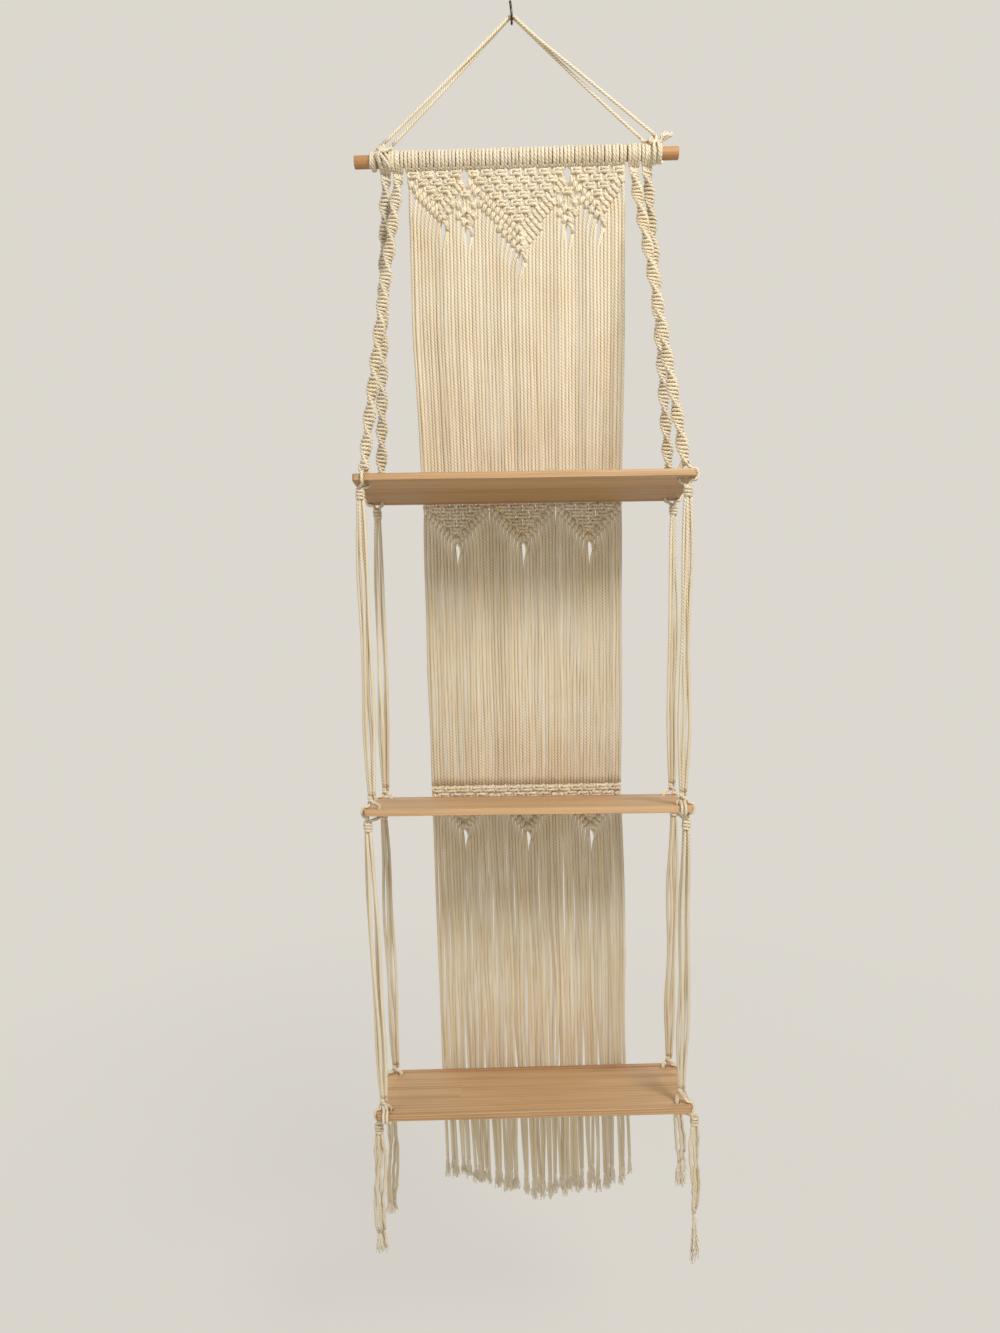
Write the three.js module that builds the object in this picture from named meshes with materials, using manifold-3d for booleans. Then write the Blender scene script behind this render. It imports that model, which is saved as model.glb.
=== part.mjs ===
// Macrame wall shelf: a knotted cotton panel and four cord corners hang from a wooden dowel and carry
// three pine boards. Two cords hold the dowel on a wire hook in the wall.
// Millimetres, +Z up. The wall is the plane y = 0 and the front faces -Y. The origin is the point where
// the hook's shank leaves the wall.
import * as THREE from 'three';
import { mergeVertices } from 'three/addons/utils/BufferGeometryUtils.js';
import Module from 'manifold-3d';

const wasm = await Module();
wasm.setup();

// --- Driving dimensions -------------------------------------------------------------------------

const GAP = 0.3; // between two pieces that touch
const CORD = 4; // diameter of the cotton cord
const CORD_SIDES = 8;
const LUMP_ROWS = 5; // bands of a soft lump from pole to pole
const WELD = 1e-4; // vertices nearer than this are one

const HOOK = { wire: 3, reach: 17, rise: 19, lean: -1.5, belly: 0.5, sides: 10, steps: 20 };

const DOWEL = { diameter: 16, length: 405, chamfer: 0.8, x: 2, y: -14, z: -162, sides: 24 };
const WRAP_SIDES = 12;
// Radii of the corners of a sleeve of wrapped cord, whose flat sides clear the dowel by the gap.
const WRAP_INNER = (DOWEL.diameter / 2 + GAP) / Math.cos(Math.PI / WRAP_SIDES);
const WRAP_OUTER = WRAP_INNER + CORD;

const BOARD = {
  width: 400,
  depth: 150,
  thickness: 8,
  cornerRadius: 5,
  plainHalf: 168, // half the width of the plain field between the pairs of holes
  holeRadius: 4,
  holeFromEnd: 17,
  holeFromEdge: 16,
  holeSides: 16,
};
const BACK_EDGE = -16.5; // y of every board's upper back edge

// The boards, from the top: x of the middle, height of the upper back edge, how far the front edge
// stands above the back one, the slope from left to right and the turn in plan, in degrees.
const SHELVES = [
  { name: 'upper', x: 3, backTop: -581, rise: 26, slope: -0.44, turn: 0 },
  { name: 'middle', x: 0, backTop: -981, rise: 24.5, slope: -0.31, turn: 0 },
  { name: 'lower', x: -0.5, backTop: -1373.5, rise: 22.5, slope: 0.58, turn: 0.46 },
];

const STRANDS = 60; // strands of the panel, from thirty folded cords
const GROUP = 4; // strands that stay together below a knot, one tooth of the curtain
const HEADS_TOP = { left: -138, right: 139.5 }; // the row of folded cords on the dowel
const BAND_THICK = 8;
const CURTAIN_THICK = 4;
const SPINE = 8; // height of the closed strip along a curtain's upper edge
const HANG_GAP = 1; // upright gap under a band, so that its steepest edges keep the gap

// The panel's side edges on the way down.
const PANEL_EDGES = [
  { z: -174, left: -137, right: 139 },
  { z: -195, left: -134, right: 138 },
  { z: -372, left: -135, right: 137 },
  { z: -581, left: -129, right: 132 },
  { z: -771, left: -130, right: 131.5 },
  { z: -973, left: -129.5, right: 128.5 },
  { z: -1221, left: -128, right: 134 },
  { z: -1377, left: -127, right: 133.5 },
  { z: -1521, left: -125, right: 136 },
  { z: -1600, left: -124.5, right: 137 },
];

// Depth of the panel's middle layer on the way down: it leans back from the dowel to the wall.
const PANEL_DEPTH = [
  { z: -174, y: -14 },
  { z: -581, y: -9 },
  { z: -1600, y: -8.5 },
];

// The knotted bands: height of the upper edge, and the lower edge as strands counted from the left
// against the drop below the upper edge.
const BANDS = {
  top: {
    z: -175,
    lowerEdge: [
      { strand: 0, drop: 14 },
      { strand: 9.2, drop: 65 },
      { strand: 12.9, drop: 32 },
      { strand: 15.9, drop: 71 },
      { strand: 19.2, drop: 31 },
      { strand: 30.9, drop: 105 },
      { strand: 41, drop: 31 },
      { strand: 44.1, drop: 74 },
      { strand: 47.2, drop: 33 },
      { strand: 52.8, drop: 66 },
      { strand: 60, drop: 14 },
    ],
    gaps: [
      { strand: 16, drop: 8.5, halfWide: 4.6, halfHigh: 6.4 },
      { strand: 44, drop: 8.5, halfWide: 4.6, halfHigh: 6.4 },
    ],
  },
  middle: {
    z: -581.5,
    lowerEdge: [
      { strand: 0, drop: 17 },
      { strand: 10, drop: 62 },
      { strand: 20, drop: 21 },
      { strand: 30, drop: 62 },
      { strand: 40, drop: 21 },
      { strand: 50, drop: 62 },
      { strand: 60, drop: 17 },
    ],
    gaps: [],
  },
  low: {
    z: -967.5,
    lowerEdge: [
      { strand: 0, drop: 18 },
      { strand: 10, drop: 63 },
      { strand: 20, drop: 22 },
      { strand: 30, drop: 67 },
      { strand: 40, drop: 22 },
      { strand: 50, drop: 67 },
      { strand: 60, drop: 18 },
    ],
    gaps: [],
  },
};

// Heights of the free ends of the fringe, which hangs lowest near its middle.
const FRINGE_ENDS = [
  { strand: 0, z: -1541 },
  { strand: 30, z: -1581 },
  { strand: 54, z: -1563 },
  { strand: 60, z: -1550 },
];

// Where the strands of each curtain part from each other: heights of the bends in a slit, and how
// much wider than the least slit they may open.
const CURTAINS = {
  top: { bends: [-372], loose: 0 },
  middle: { bends: [-771], loose: 0.5 },
  low: { bends: [-1221, -1377], loose: 1.8 },
};
const LEAST_SLIT = 1.2;
const SLIT_WANDER = { perGroup: 2.3, height: 90 }; // phase and length of the loose strands' waves

const SINNET = { wide: 15, deep: 9, halfTurn: 35, sectionsPerHalfTurn: 3, sides: 6, neck: 10 };
const KNOT = { wide: 13, deep: 10.5, high: 12, waist: 0.72, shoulder: 0.25, sides: 6 };
const BUNDLE = { wide: 12.5, deep: 9.5, sides: CORD_SIDES, levels: [0, 0.06, 0.35, 0.65, 0.94, 1] };
const LEG_SIDES = 6;
const LEG_STEPS = 7;
const LEG_CLEAR = CORD / 2 + 0.7; // from a board's surface to the middle of a cord that passes it
const CORNER_IN = 13; // how far inside the front or back edge a corner's knots sit
const EDGE_LEG_IN = 12; // how far from a board's end a cord crosses its long edge

// The four corners: side and row of the board, and x of the cord heads on the dowel.
const CORNERS = [
  { name: 'front_left', side: -1, row: 'front', headFrom: -153.5, headTo: -139 },
  { name: 'back_left', side: -1, row: 'back', headFrom: -170, headTo: -154 },
  { name: 'front_right', side: 1, row: 'front', headFrom: 141, headTo: 157 },
  { name: 'back_right', side: 1, row: 'back', headFrom: 157.5, headTo: 173.5 },
];

// How the cords pass each board, by board and corner: height of the knot's middle over the board and
// depth of the next knot's middle under it, the distance of both from the board's middle, and which
// ways the cords take: round the end, through the hole, or over the long edge.
const PASSES = {
  upper: {
    front_left: { over: 16, under: 14, overX: 188, underX: 192, ways: ['hole', 'edge'] },
    back_left: { over: 15, under: 14, overX: 184, underX: 189, ways: ['hole', 'end'] },
    front_right: { over: 16, under: 16, overX: 189, underX: 191, ways: ['hole', 'end'] },
    back_right: { over: 15, under: 14, overX: 189, underX: 193, ways: ['hole', 'end'] },
  },
  middle: {
    front_left: { over: 15, under: 14, overX: 191, underX: 196, ways: ['hole', 'end'] },
    back_left: { over: 14, under: 14, overX: 190, underX: 193, ways: ['hole', 'end'] },
    front_right: { over: 15, under: 16, overX: 190, underX: 193, ways: ['hole', 'edge', 'end'] },
    back_right: { over: 15, under: 14, overX: 195, underX: 197, ways: ['hole', 'end'] },
  },
  lower: {
    front_left: { over: 16, under: 14, overX: 191, underX: 198, ways: ['hole', 'edge', 'end'] },
    back_left: { over: 12, under: 14, overX: 190, underX: 196, ways: ['hole', 'end'] },
    front_right: { over: 19, under: 14, overX: 189, underX: 204, ways: ['hole', 'end'] },
    back_right: { over: 14, under: 14, overX: 192, underX: 203, ways: ['hole', 'end'] },
  },
};

// The free tails under the lowest board: shift of the loose end, its height, where the fraying
// starts and its width there. The last ends draw in to a share of that width.
const TAILS = {
  front_left: { shift: -3, endZ: -1556, frayZ: -1515, frayWide: 18 },
  back_left: { shift: -5, endZ: -1590, frayZ: -1565, frayWide: 22 },
  front_right: { shift: 1, endZ: -1570, frayZ: -1500, frayWide: 25 },
  back_right: { shift: 5, endZ: -1551, frayZ: -1505, frayWide: 21 },
};

const TAIL_END_SHARE = 0.7;

// Where the two cords of the hanger meet the lashings, and their places side by side on the hook.
const HANGER_CORDS = [
  { name: 'hanger_cord_outer', leftX: -163, rightX: 176, hookY: -11, footY: -21 },
  { name: 'hanger_cord_inner', leftX: -153, rightX: 158, hookY: -6.6, footY: -14 },
];
const HANGER = { footZ: -143.6, overWire: 2.2, shoulder: 9, shoulderDrop: 6, steps: 38 };

const LASHING_LEFT = { from: -181.5, to: -171, knotX: -164, knotHalf: 12 };
const LASHING_RIGHT = { from: 174.5, to: 184, knotX: 170, knotHalf: 9 };
const LASHING_KNOT = { y: -23, z: -153, deep: 16, high: 16 };
const TUFT = {
  rootX: 183,
  tipX: 193,
  rootZ: -151,
  tipZ: -136,
  y: -13,
  rootWide: 6,
  tipWide: 18,
  tipDeep: 12,
  levels: [1, 0.35, 0],
};

// --- Materials ----------------------------------------------------------------------------------

const cotton = () => new THREE.MeshStandardMaterial({ color: '#e4d9c2', roughness: 0.95, metalness: 0 });
const pine = () => new THREE.MeshStandardMaterial({ color: '#b58a58', roughness: 0.6, metalness: 0 });
const dowelWood = () => new THREE.MeshStandardMaterial({ color: '#a97442', roughness: 0.6, metalness: 0 });
const hookSteel = () => {
  return new THREE.MeshStandardMaterial({ color: '#3b3630', roughness: 0.45, metalness: 0.9 });
};

// --- Shared geometry ----------------------------------------------------------------------------

/** The value of a column at z in a table whose rows are sorted by falling z. */
function atHeight(table, column, z) {
  const next = table.findIndex((row) => row.z <= z);
  if (next === 0) return table[0][column];
  if (next === -1) return table[table.length - 1][column];
  const above = table[next - 1];
  const below = table[next];
  return THREE.MathUtils.mapLinear(z, above.z, below.z, above[column], below[column]);
}

/** The value of a column at a strand in a table whose rows are sorted by strand. */
function atStrand(table, column, strand) {
  const next = table.findIndex((row) => row.strand >= strand);
  if (next === 0) return table[0][column];
  const before = table[next - 1];
  const after = table[next];
  return THREE.MathUtils.mapLinear(strand, before.strand, after.strand, before[column], after[column]);
}

/** x in the panel of a place counted in strands from the left, at height z. */
function panelX(strand, z) {
  const left = atHeight(PANEL_EDGES, 'left', z);
  const right = atHeight(PANEL_EDGES, 'right', z);
  return THREE.MathUtils.lerp(left, right, strand / STRANDS);
}

/** A closed body through rows of points that go down, each anticlockwise from above. */
function closedLoft(rows) {
  const sides = rows[0].length;
  const last = (rows.length - 1) * sides;
  const index = [];
  for (let start = 0; start < last; start += sides) {
    for (let side = 0; side < sides; side += 1) {
      const here = start + side;
      const beside = start + ((side + 1) % sides);
      index.push(here, beside + sides, beside);
      index.push(here, here + sides, beside + sides);
    }
  }
  for (let side = 1; side < sides - 1; side += 1) {
    index.push(0, side, side + 1);
    index.push(last, last + side + 1, last + side);
  }
  const geometry = new THREE.BufferGeometry();
  const positions = rows.flat().flatMap((point) => point.toArray());
  geometry.setAttribute('position', new THREE.Float32BufferAttribute(positions, 3));
  geometry.setIndex(index);
  return geometry;
}

/** One level row of a hanging piece: an oval whose long axis is turned about the vertical. */
function ovalRow({ x, y, z, wide, deep, turn = 0 }, sides) {
  return Array.from({ length: sides }, (unused, side) => {
    const angle = (side / sides) * 2 * Math.PI;
    const across = Math.cos(angle - turn) / wide;
    const along = Math.sin(angle - turn) / deep;
    const radius = 0.5 / Math.hypot(across, along);
    return new THREE.Vector3(x + radius * Math.cos(angle), y + radius * Math.sin(angle), z);
  });
}

const hangingLoft = (rows, sides) => closedLoft(rows.map((row) => ovalRow(row, sides)));

/** A round cord along a smooth curve through the points. */
function cordTube(points, steps, sides, diameter = CORD) {
  const section = new THREE.Shape();
  for (let side = 0; side < sides; side += 1) {
    const angle = (side / sides) * 2 * Math.PI;
    const corner = [(diameter / 2) * Math.cos(angle), (diameter / 2) * Math.sin(angle)];
    if (side === 0) section.moveTo(...corner);
    else section.lineTo(...corner);
  }
  const extrudePath = new THREE.CatmullRomCurve3(points);
  return new THREE.ExtrudeGeometry(section, { steps, extrudePath, curveSegments: 1 });
}

/** A sleeve round the dowel's axis, from x to x. */
function dowelSleeve(from, to, inner = WRAP_INNER, outer = WRAP_OUTER, sides = WRAP_SIDES) {
  const profile = [
    new THREE.Vector2(inner, from),
    new THREE.Vector2(outer, from),
    new THREE.Vector2(outer, to),
    new THREE.Vector2(inner, to),
    new THREE.Vector2(inner, from),
  ];
  const geometry = new THREE.LatheGeometry(profile, sides);
  geometry.rotateZ(-Math.PI / 2);
  geometry.translate(0, DOWEL.y, DOWEL.z);
  return geometry;
}

/** A solid cylinder on the dowel's axis, for cutting. */
function dowelCutter(from, to, radius) {
  const geometry = new THREE.CylinderGeometry(radius, radius, to - from, 2 * WRAP_SIDES);
  geometry.rotateZ(-Math.PI / 2);
  geometry.translate((from + to) / 2, DOWEL.y, DOWEL.z);
  return geometry;
}

/** A soft lump of wound cord: a low ball stretched to its three sizes. */
function lump({ x, y, z, wide, deep, high }) {
  const geometry = new THREE.SphereGeometry(0.5, CORD_SIDES, LUMP_ROWS);
  geometry.scale(wide, high, deep);
  geometry.rotateX(Math.PI / 2);
  geometry.translate(x, y, z);
  return geometry;
}

function toManifold(geometry) {
  const bare = geometry.clone();
  bare.deleteAttribute('normal');
  bare.deleteAttribute('uv');
  const merged = mergeVertices(bare, WELD);
  const vertProperties = new Float32Array(merged.attributes.position.array);
  const triVerts = new Uint32Array(merged.index.array);
  return new wasm.Manifold(new wasm.Mesh({ numProp: 3, vertProperties, triVerts }));
}

function fromManifold(solid) {
  const mesh = solid.getMesh();
  const geometry = new THREE.BufferGeometry();
  geometry.setAttribute('position', new THREE.BufferAttribute(new Float32Array(mesh.vertProperties), 3));
  geometry.setIndex(new THREE.BufferAttribute(new Uint32Array(mesh.triVerts), 1));
  return geometry;
}

const joined = (geometries) => geometries.map(toManifold).reduce((whole, piece) => whole.add(piece));

const shelf = new THREE.Group();

function addPiece(name, geometry, material) {
  const mesh = new THREE.Mesh(geometry, material);
  mesh.name = name;
  shelf.add(mesh);
  return mesh;
}

// --- Wall hook: one bent wire, its shank square to the wall ---------------------------------------

function wallHook() {
  const half = HOOK.reach / 2;
  return cordTube(
    [
      new THREE.Vector3(0, 0, 0),
      new THREE.Vector3(0, -half, 0),
      new THREE.Vector3(0, -HOOK.reach + HOOK.wire, 0),
      new THREE.Vector3(0, -HOOK.reach, HOOK.wire),
      new THREE.Vector3(HOOK.lean / 2, -HOOK.reach - HOOK.belly, HOOK.rise / 2),
      new THREE.Vector3(HOOK.lean, -HOOK.reach, HOOK.rise),
    ],
    HOOK.steps,
    HOOK.sides,
    HOOK.wire,
  );
}

// --- Dowel and what is wound on it ----------------------------------------------------------------

function dowel() {
  const radius = DOWEL.diameter / 2;
  const half = DOWEL.length / 2;
  const profile = [
    new THREE.Vector2(0, -half),
    new THREE.Vector2(radius - DOWEL.chamfer, -half),
    new THREE.Vector2(radius, -half + DOWEL.chamfer),
    new THREE.Vector2(radius, half - DOWEL.chamfer),
    new THREE.Vector2(radius - DOWEL.chamfer, half),
    new THREE.Vector2(0, half),
  ];
  const geometry = new THREE.LatheGeometry(profile, DOWEL.sides);
  geometry.rotateZ(-Math.PI / 2);
  return geometry;
}

/** Turns of cord beside the cord heads, with the knot that closes them in front of those heads. */
function lashing({ from, to, knotX, knotHalf }, extras) {
  const side = Math.sign(knotX);
  const headsEnd = side < 0 ? to + GAP : from - GAP;
  const knot = toManifold(lump({ x: knotX, ...LASHING_KNOT, wide: 2 * knotHalf }));
  const beyond = headsEnd - side * 3 * knotHalf;
  const heads = dowelCutter(Math.min(headsEnd, beyond), Math.max(headsEnd, beyond), WRAP_OUTER + GAP);
  const bore = dowelCutter(knotX - 3 * knotHalf, knotX + 3 * knotHalf, WRAP_INNER);
  const turns = toManifold(dowelSleeve(from, to));
  const closed = knot.subtract(toManifold(heads)).subtract(toManifold(bore)).add(turns);
  return fromManifold(extras.reduce((whole, extra) => whole.add(toManifold(extra)), closed));
}

/** The frayed end of the hanger cord, which stands up beside the right lashing. */
function frayedTuft() {
  const rows = TUFT.levels.map((share) => ({
    x: THREE.MathUtils.lerp(TUFT.rootX, TUFT.tipX, share),
    y: TUFT.y,
    z: THREE.MathUtils.lerp(TUFT.rootZ, TUFT.tipZ, share),
    wide: THREE.MathUtils.lerp(TUFT.rootWide, TUFT.tipWide, Math.sqrt(share)),
    deep: THREE.MathUtils.lerp(TUFT.rootWide, TUFT.tipDeep, Math.sqrt(share)),
  }));
  return hangingLoft(rows, CORD_SIDES);
}

/** One cord of the hanger, from the left lashing over the hook to the right one. */
function hangerCord({ leftX, rightX, hookY, footY }) {
  const top = (HOOK.wire + CORD) / 2 + HANGER.overWire;
  return cordTube(
    [
      new THREE.Vector3(leftX, footY, HANGER.footZ),
      new THREE.Vector3(leftX / 2, (footY + hookY) / 2, (HANGER.footZ + top) / 2),
      new THREE.Vector3(-HANGER.shoulder, hookY, top - HANGER.shoulderDrop),
      new THREE.Vector3(0, hookY, top),
      new THREE.Vector3(HANGER.shoulder, hookY, top - HANGER.shoulderDrop),
      new THREE.Vector3(rightX / 2, (footY + hookY) / 2, (HANGER.footZ + top) / 2),
      new THREE.Vector3(rightX, footY, HANGER.footZ),
    ],
    HANGER.steps,
    CORD_SIDES,
  );
}

// --- Panel: knotted bands with curtains of strands between them -----------------------------------

const bandEdge = (band) => band.lowerEdge.map(({ strand, drop }) => ({ strand, z: band.z - drop }));

/** Stands a flat outline up in the panel: drawn in x and z, thickened in y and leant as the panel. */
function standInPanel(outline, thick) {
  const geometry = new THREE.ExtrudeGeometry(outline, { depth: thick, bevelEnabled: false });
  geometry.rotateX(Math.PI / 2);
  const place = geometry.attributes.position;
  for (let i = 0; i < place.count; i += 1) {
    place.setY(i, place.getY(i) + thick / 2 + atHeight(PANEL_DEPTH, 'y', place.getZ(i)));
  }
  return geometry;
}

function outlineOf(corners) {
  return new THREE.Shape(corners.map(({ strand, z }) => new THREE.Vector2(panelX(strand, z), z)));
}

function knotBand(band) {
  const upper = [
    { strand: STRANDS, z: band.z },
    { strand: 0, z: band.z },
  ];
  const outline = outlineOf([...bandEdge(band), ...upper]);
  for (const { strand, drop, halfWide, halfHigh } of band.gaps) {
    const z = band.z - drop;
    const x = panelX(strand, z);
    outline.holes.push(
      new THREE.Path([
        new THREE.Vector2(x - halfWide, z),
        new THREE.Vector2(x, z + halfHigh),
        new THREE.Vector2(x + halfWide, z),
        new THREE.Vector2(x, z - halfHigh),
      ]),
    );
  }
  return standInPanel(outline, BAND_THICK);
}

/** Half the width of a slit beside a group of strands, in strands: wider where they hang loose. */
function slitHalf(group, z, loose) {
  const opened = loose * Math.abs(Math.sin(SLIT_WANDER.perGroup * group + z / SLIT_WANDER.height));
  return ((LEAST_SLIT + opened) / 2) * (STRANDS / (PANEL_EDGES[0].right - PANEL_EDGES[0].left));
}

/** A string curtain: one comb that hangs from the band's lower edge, a tooth for each group. */
function curtain(band, { bends, loose }, endHeight) {
  const edge = bandEdge(band).map(({ strand, z }) => ({ strand, z: z - HANG_GAP }));
  const corners = [...edge];
  bends.forEach((z) => corners.push({ strand: STRANDS, z }));
  for (let slit = STRANDS - GROUP; slit > 0; slit -= GROUP) {
    const top = atStrand(edge, 'z', slit) - SPINE;
    const right = endHeight(slit + GROUP / 2);
    const left = endHeight(slit - GROUP / 2);
    if (slit === STRANDS - GROUP) corners.push({ strand: STRANDS, z: right });
    const levels = [...bends].reverse();
    corners.push({ strand: slit + slitHalf(slit, right, loose), z: right });
    levels.forEach((z) => corners.push({ strand: slit + slitHalf(slit, z, loose), z }));
    corners.push({ strand: slit, z: top });
    bends.forEach((z) => corners.push({ strand: slit - slitHalf(slit, z, loose), z }));
    corners.push({ strand: slit - slitHalf(slit, left, loose), z: left });
    if (slit === GROUP) corners.push({ strand: 0, z: left });
  }
  [...bends].reverse().forEach((z) => corners.push({ strand: 0, z }));
  return standInPanel(outlineOf(corners), CURTAIN_THICK);
}

// --- Boards ---------------------------------------------------------------------------------------

/** One end of a board, with its rounded corners and two holes, on the side given by the sign. */
function boardEnd(side) {
  const { width, depth, cornerRadius: r, plainHalf, holeRadius, holeFromEnd, holeFromEdge } = BOARD;
  const outline = new THREE.Shape();
  const half = width / 2;
  outline.moveTo(plainHalf, 0);
  outline.lineTo(plainHalf, -depth);
  outline.lineTo(half - r, -depth);
  outline.absarc(half - r, -depth + r, r, -Math.PI / 2, 0, false);
  outline.lineTo(half, -r);
  outline.absarc(half - r, -r, r, 0, Math.PI / 2, false);
  outline.closePath();
  for (const y of [-holeFromEdge, holeFromEdge - depth]) {
    const hole = new THREE.Path();
    hole.absarc(half - holeFromEnd, y, holeRadius, 0, 2 * Math.PI, true);
    outline.holes.push(hole);
  }
  const options = { depth: BOARD.thickness, bevelEnabled: false, curveSegments: BOARD.holeSides / 2 };
  const geometry = new THREE.ExtrudeGeometry(outline, options);
  geometry.translate(0, 0, -BOARD.thickness);
  if (side < 0) geometry.rotateZ(Math.PI).translate(0, -depth, 0);
  return geometry;
}

function boardGeometry() {
  const field = new THREE.BoxGeometry(2 * BOARD.plainHalf, BOARD.depth, BOARD.thickness);
  field.translate(0, -BOARD.depth / 2, -BOARD.thickness / 2);
  return fromManifold(joined([field, boardEnd(1), boardEnd(-1)]));
}

/** A board's place: its upper back edge is level with the shelf's height and its front is raised. */
function setBoardPlace(object, place) {
  object.position.set(place.x, BACK_EDGE, place.backTop);
  object.rotation.order = 'ZYX';
  object.rotation.x = -Math.asin(place.rise / BOARD.depth);
  object.rotation.y = -THREE.MathUtils.degToRad(place.slope);
  object.rotation.z = THREE.MathUtils.degToRad(place.turn);
  object.updateMatrix();
}

/** A point given in a board's own axes, in the part's frame. */
function onBoard(place, x, y, z) {
  const frame = new THREE.Object3D();
  setBoardPlace(frame, place);
  return new THREE.Vector3(x, y, z).applyMatrix4(frame.matrix);
}

// --- Corner cords ---------------------------------------------------------------------------------

/** y of a place inside a corner's long edge, in the board's own axes. */
const rowY = (corner, inside) => (corner.row === 'front' ? inside - BOARD.depth : -inside);

/** The middles of a corner's two knots, above and below a board. */
function knotMiddles(place, corner) {
  const pass = PASSES[place.name][corner.name];
  const y = rowY(corner, CORNER_IN);
  return {
    over: onBoard(place, corner.side * pass.overX, y, pass.over),
    under: onBoard(place, corner.side * pass.underX, y, -BOARD.thickness - pass.under),
  };
}

/** The stations of one cord on its way past a board, in the board's own axes. */
function wayStations(way, corner) {
  const half = BOARD.width / 2;
  const low = -BOARD.thickness - LEG_CLEAR;
  const middle = -BOARD.thickness / 2;
  const places = {
    end: [corner.side * (half + LEG_CLEAR), rowY(corner, CORNER_IN)],
    edge: [corner.side * (half - EDGE_LEG_IN), rowY(corner, -LEG_CLEAR)],
    hole: [corner.side * (half - BOARD.holeFromEnd), rowY(corner, BOARD.holeFromEdge)],
  };
  const [x, y] = places[way];
  return [LEG_CLEAR, middle, low].map((z) => [x, y, z]);
}

function knotRows(middle) {
  const { wide, deep, high, waist, shoulder } = KNOT;
  const row = (share, part) => ({
    x: middle.x,
    y: middle.y,
    z: middle.z + share * high,
    wide: wide * part,
    deep: deep * part,
  });
  return [row(0.5, waist), row(shoulder, 1), row(-shoulder, 1), row(-0.5, waist)];
}

/** The cords that grip a board's corner: a knot above it, the cords past it and a knot below it. */
function cornerSling(place, corner) {
  const { over, under } = knotMiddles(place, corner);
  const legs = PASSES[place.name][corner.name].ways.map((way) => {
    const stations = wayStations(way, corner).map((point) => onBoard(place, ...point));
    return cordTube([over, ...stations, under], LEG_STEPS, LEG_SIDES);
  });
  const knots = [over, under].map((middle) => hangingLoft(knotRows(middle), KNOT.sides));
  return fromManifold(joined([...knots, ...legs]));
}

/** A spiral of half knots from the cord heads on the dowel down to the top board's corner. */
function sinnet(corner) {
  const bottom = knotMiddles(SHELVES[0], corner).over;
  bottom.z += KNOT.high / 2 + GAP;
  const headMiddle = (corner.headFrom + corner.headTo) / 2;
  const top = new THREE.Vector3(headMiddle, DOWEL.y, DOWEL.z - WRAP_OUTER + CORD / 2);
  const sections = Math.round((top.distanceTo(bottom) / SINNET.halfTurn) * SINNET.sectionsPerHalfTurn);
  const rows = [];
  for (let section = 0; section <= sections; section += 1) {
    const middle = top.clone().lerp(bottom, section / sections);
    const turn = (section / SINNET.sectionsPerHalfTurn) * Math.PI;
    const atEnd = section === 0 || section === sections;
    const wide = atEnd ? SINNET.neck : SINNET.wide;
    rows.push({ x: middle.x, y: middle.y, z: middle.z, wide, deep: SINNET.deep, turn });
  }
  const heads = dowelSleeve(corner.headFrom, corner.headTo);
  const bore = dowelCutter(corner.headFrom - CORD, corner.headTo + CORD, WRAP_INNER);
  const spiral = toManifold(hangingLoft(rows, SINNET.sides)).subtract(toManifold(bore));
  return fromManifold(spiral.add(toManifold(heads)));
}

/** Four strands side by side between two boards, slack enough to bow a little. */
function bundle(upperPlace, lowerPlace, corner) {
  const top = knotMiddles(upperPlace, corner).under;
  const bottom = knotMiddles(lowerPlace, corner).over;
  top.z -= KNOT.high / 2 + GAP;
  bottom.z += KNOT.high / 2 + GAP;
  const rows = BUNDLE.levels.map((share) => {
    const middle = top.clone().lerp(bottom, share);
    const atEnd = share === 0 || share === 1;
    return {
      x: middle.x,
      y: middle.y,
      z: middle.z,
      wide: atEnd ? BUNDLE.deep : BUNDLE.wide,
      deep: BUNDLE.deep,
    };
  });
  return hangingLoft(rows, BUNDLE.sides);
}

/** The loose tail under the lowest board, frayed at its end. */
function tail(corner) {
  const top = knotMiddles(SHELVES[2], corner).under;
  top.z -= KNOT.high / 2 + GAP;
  const { shift, endZ, frayZ, frayWide } = TAILS[corner.name];
  const row = (z, wide, deep) => {
    const share = (top.z - z) / (top.z - endZ);
    return { x: top.x + shift * share, y: top.y, z, wide, deep };
  };
  const rows = [
    row(top.z, BUNDLE.deep, BUNDLE.deep),
    row(top.z - CORD, BUNDLE.wide, BUNDLE.deep),
    row(frayZ, BUNDLE.wide, BUNDLE.deep),
    row((frayZ + endZ) / 2, frayWide, BUNDLE.wide),
    row(endZ, frayWide * TAIL_END_SHARE, BUNDLE.deep),
  ];
  return hangingLoft(rows, BUNDLE.sides);
}

// --- Assembly -------------------------------------------------------------------------------------

addPiece('wall_hook', wallHook(), hookSteel());
addPiece('dowel', dowel(), dowelWood()).position.set(DOWEL.x, DOWEL.y, DOWEL.z);
addPiece('lashing_left', lashing(LASHING_LEFT, []), cotton());
addPiece('lashing_right', lashing(LASHING_RIGHT, [frayedTuft()]), cotton());
for (const cord of HANGER_CORDS) addPiece(cord.name, hangerCord(cord), cotton());

const headRow = dowelSleeve(HEADS_TOP.left, HEADS_TOP.right);
addPiece('cord_head_row', headRow, cotton());
addPiece('knot_band_top', knotBand(BANDS.top), cotton());
addPiece('knot_band_middle', knotBand(BANDS.middle), cotton());
addPiece('knot_band_low', knotBand(BANDS.low), cotton());
const fringeEnd = (strand) => atStrand(FRINGE_ENDS, 'z', strand);
addPiece('curtain_top', curtain(BANDS.top, CURTAINS.top, () => BANDS.middle.z + GAP), cotton());
addPiece('curtain_middle', curtain(BANDS.middle, CURTAINS.middle, () => BANDS.low.z + GAP), cotton());
addPiece('curtain_fringe', curtain(BANDS.low, CURTAINS.low, fringeEnd), cotton());

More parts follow.
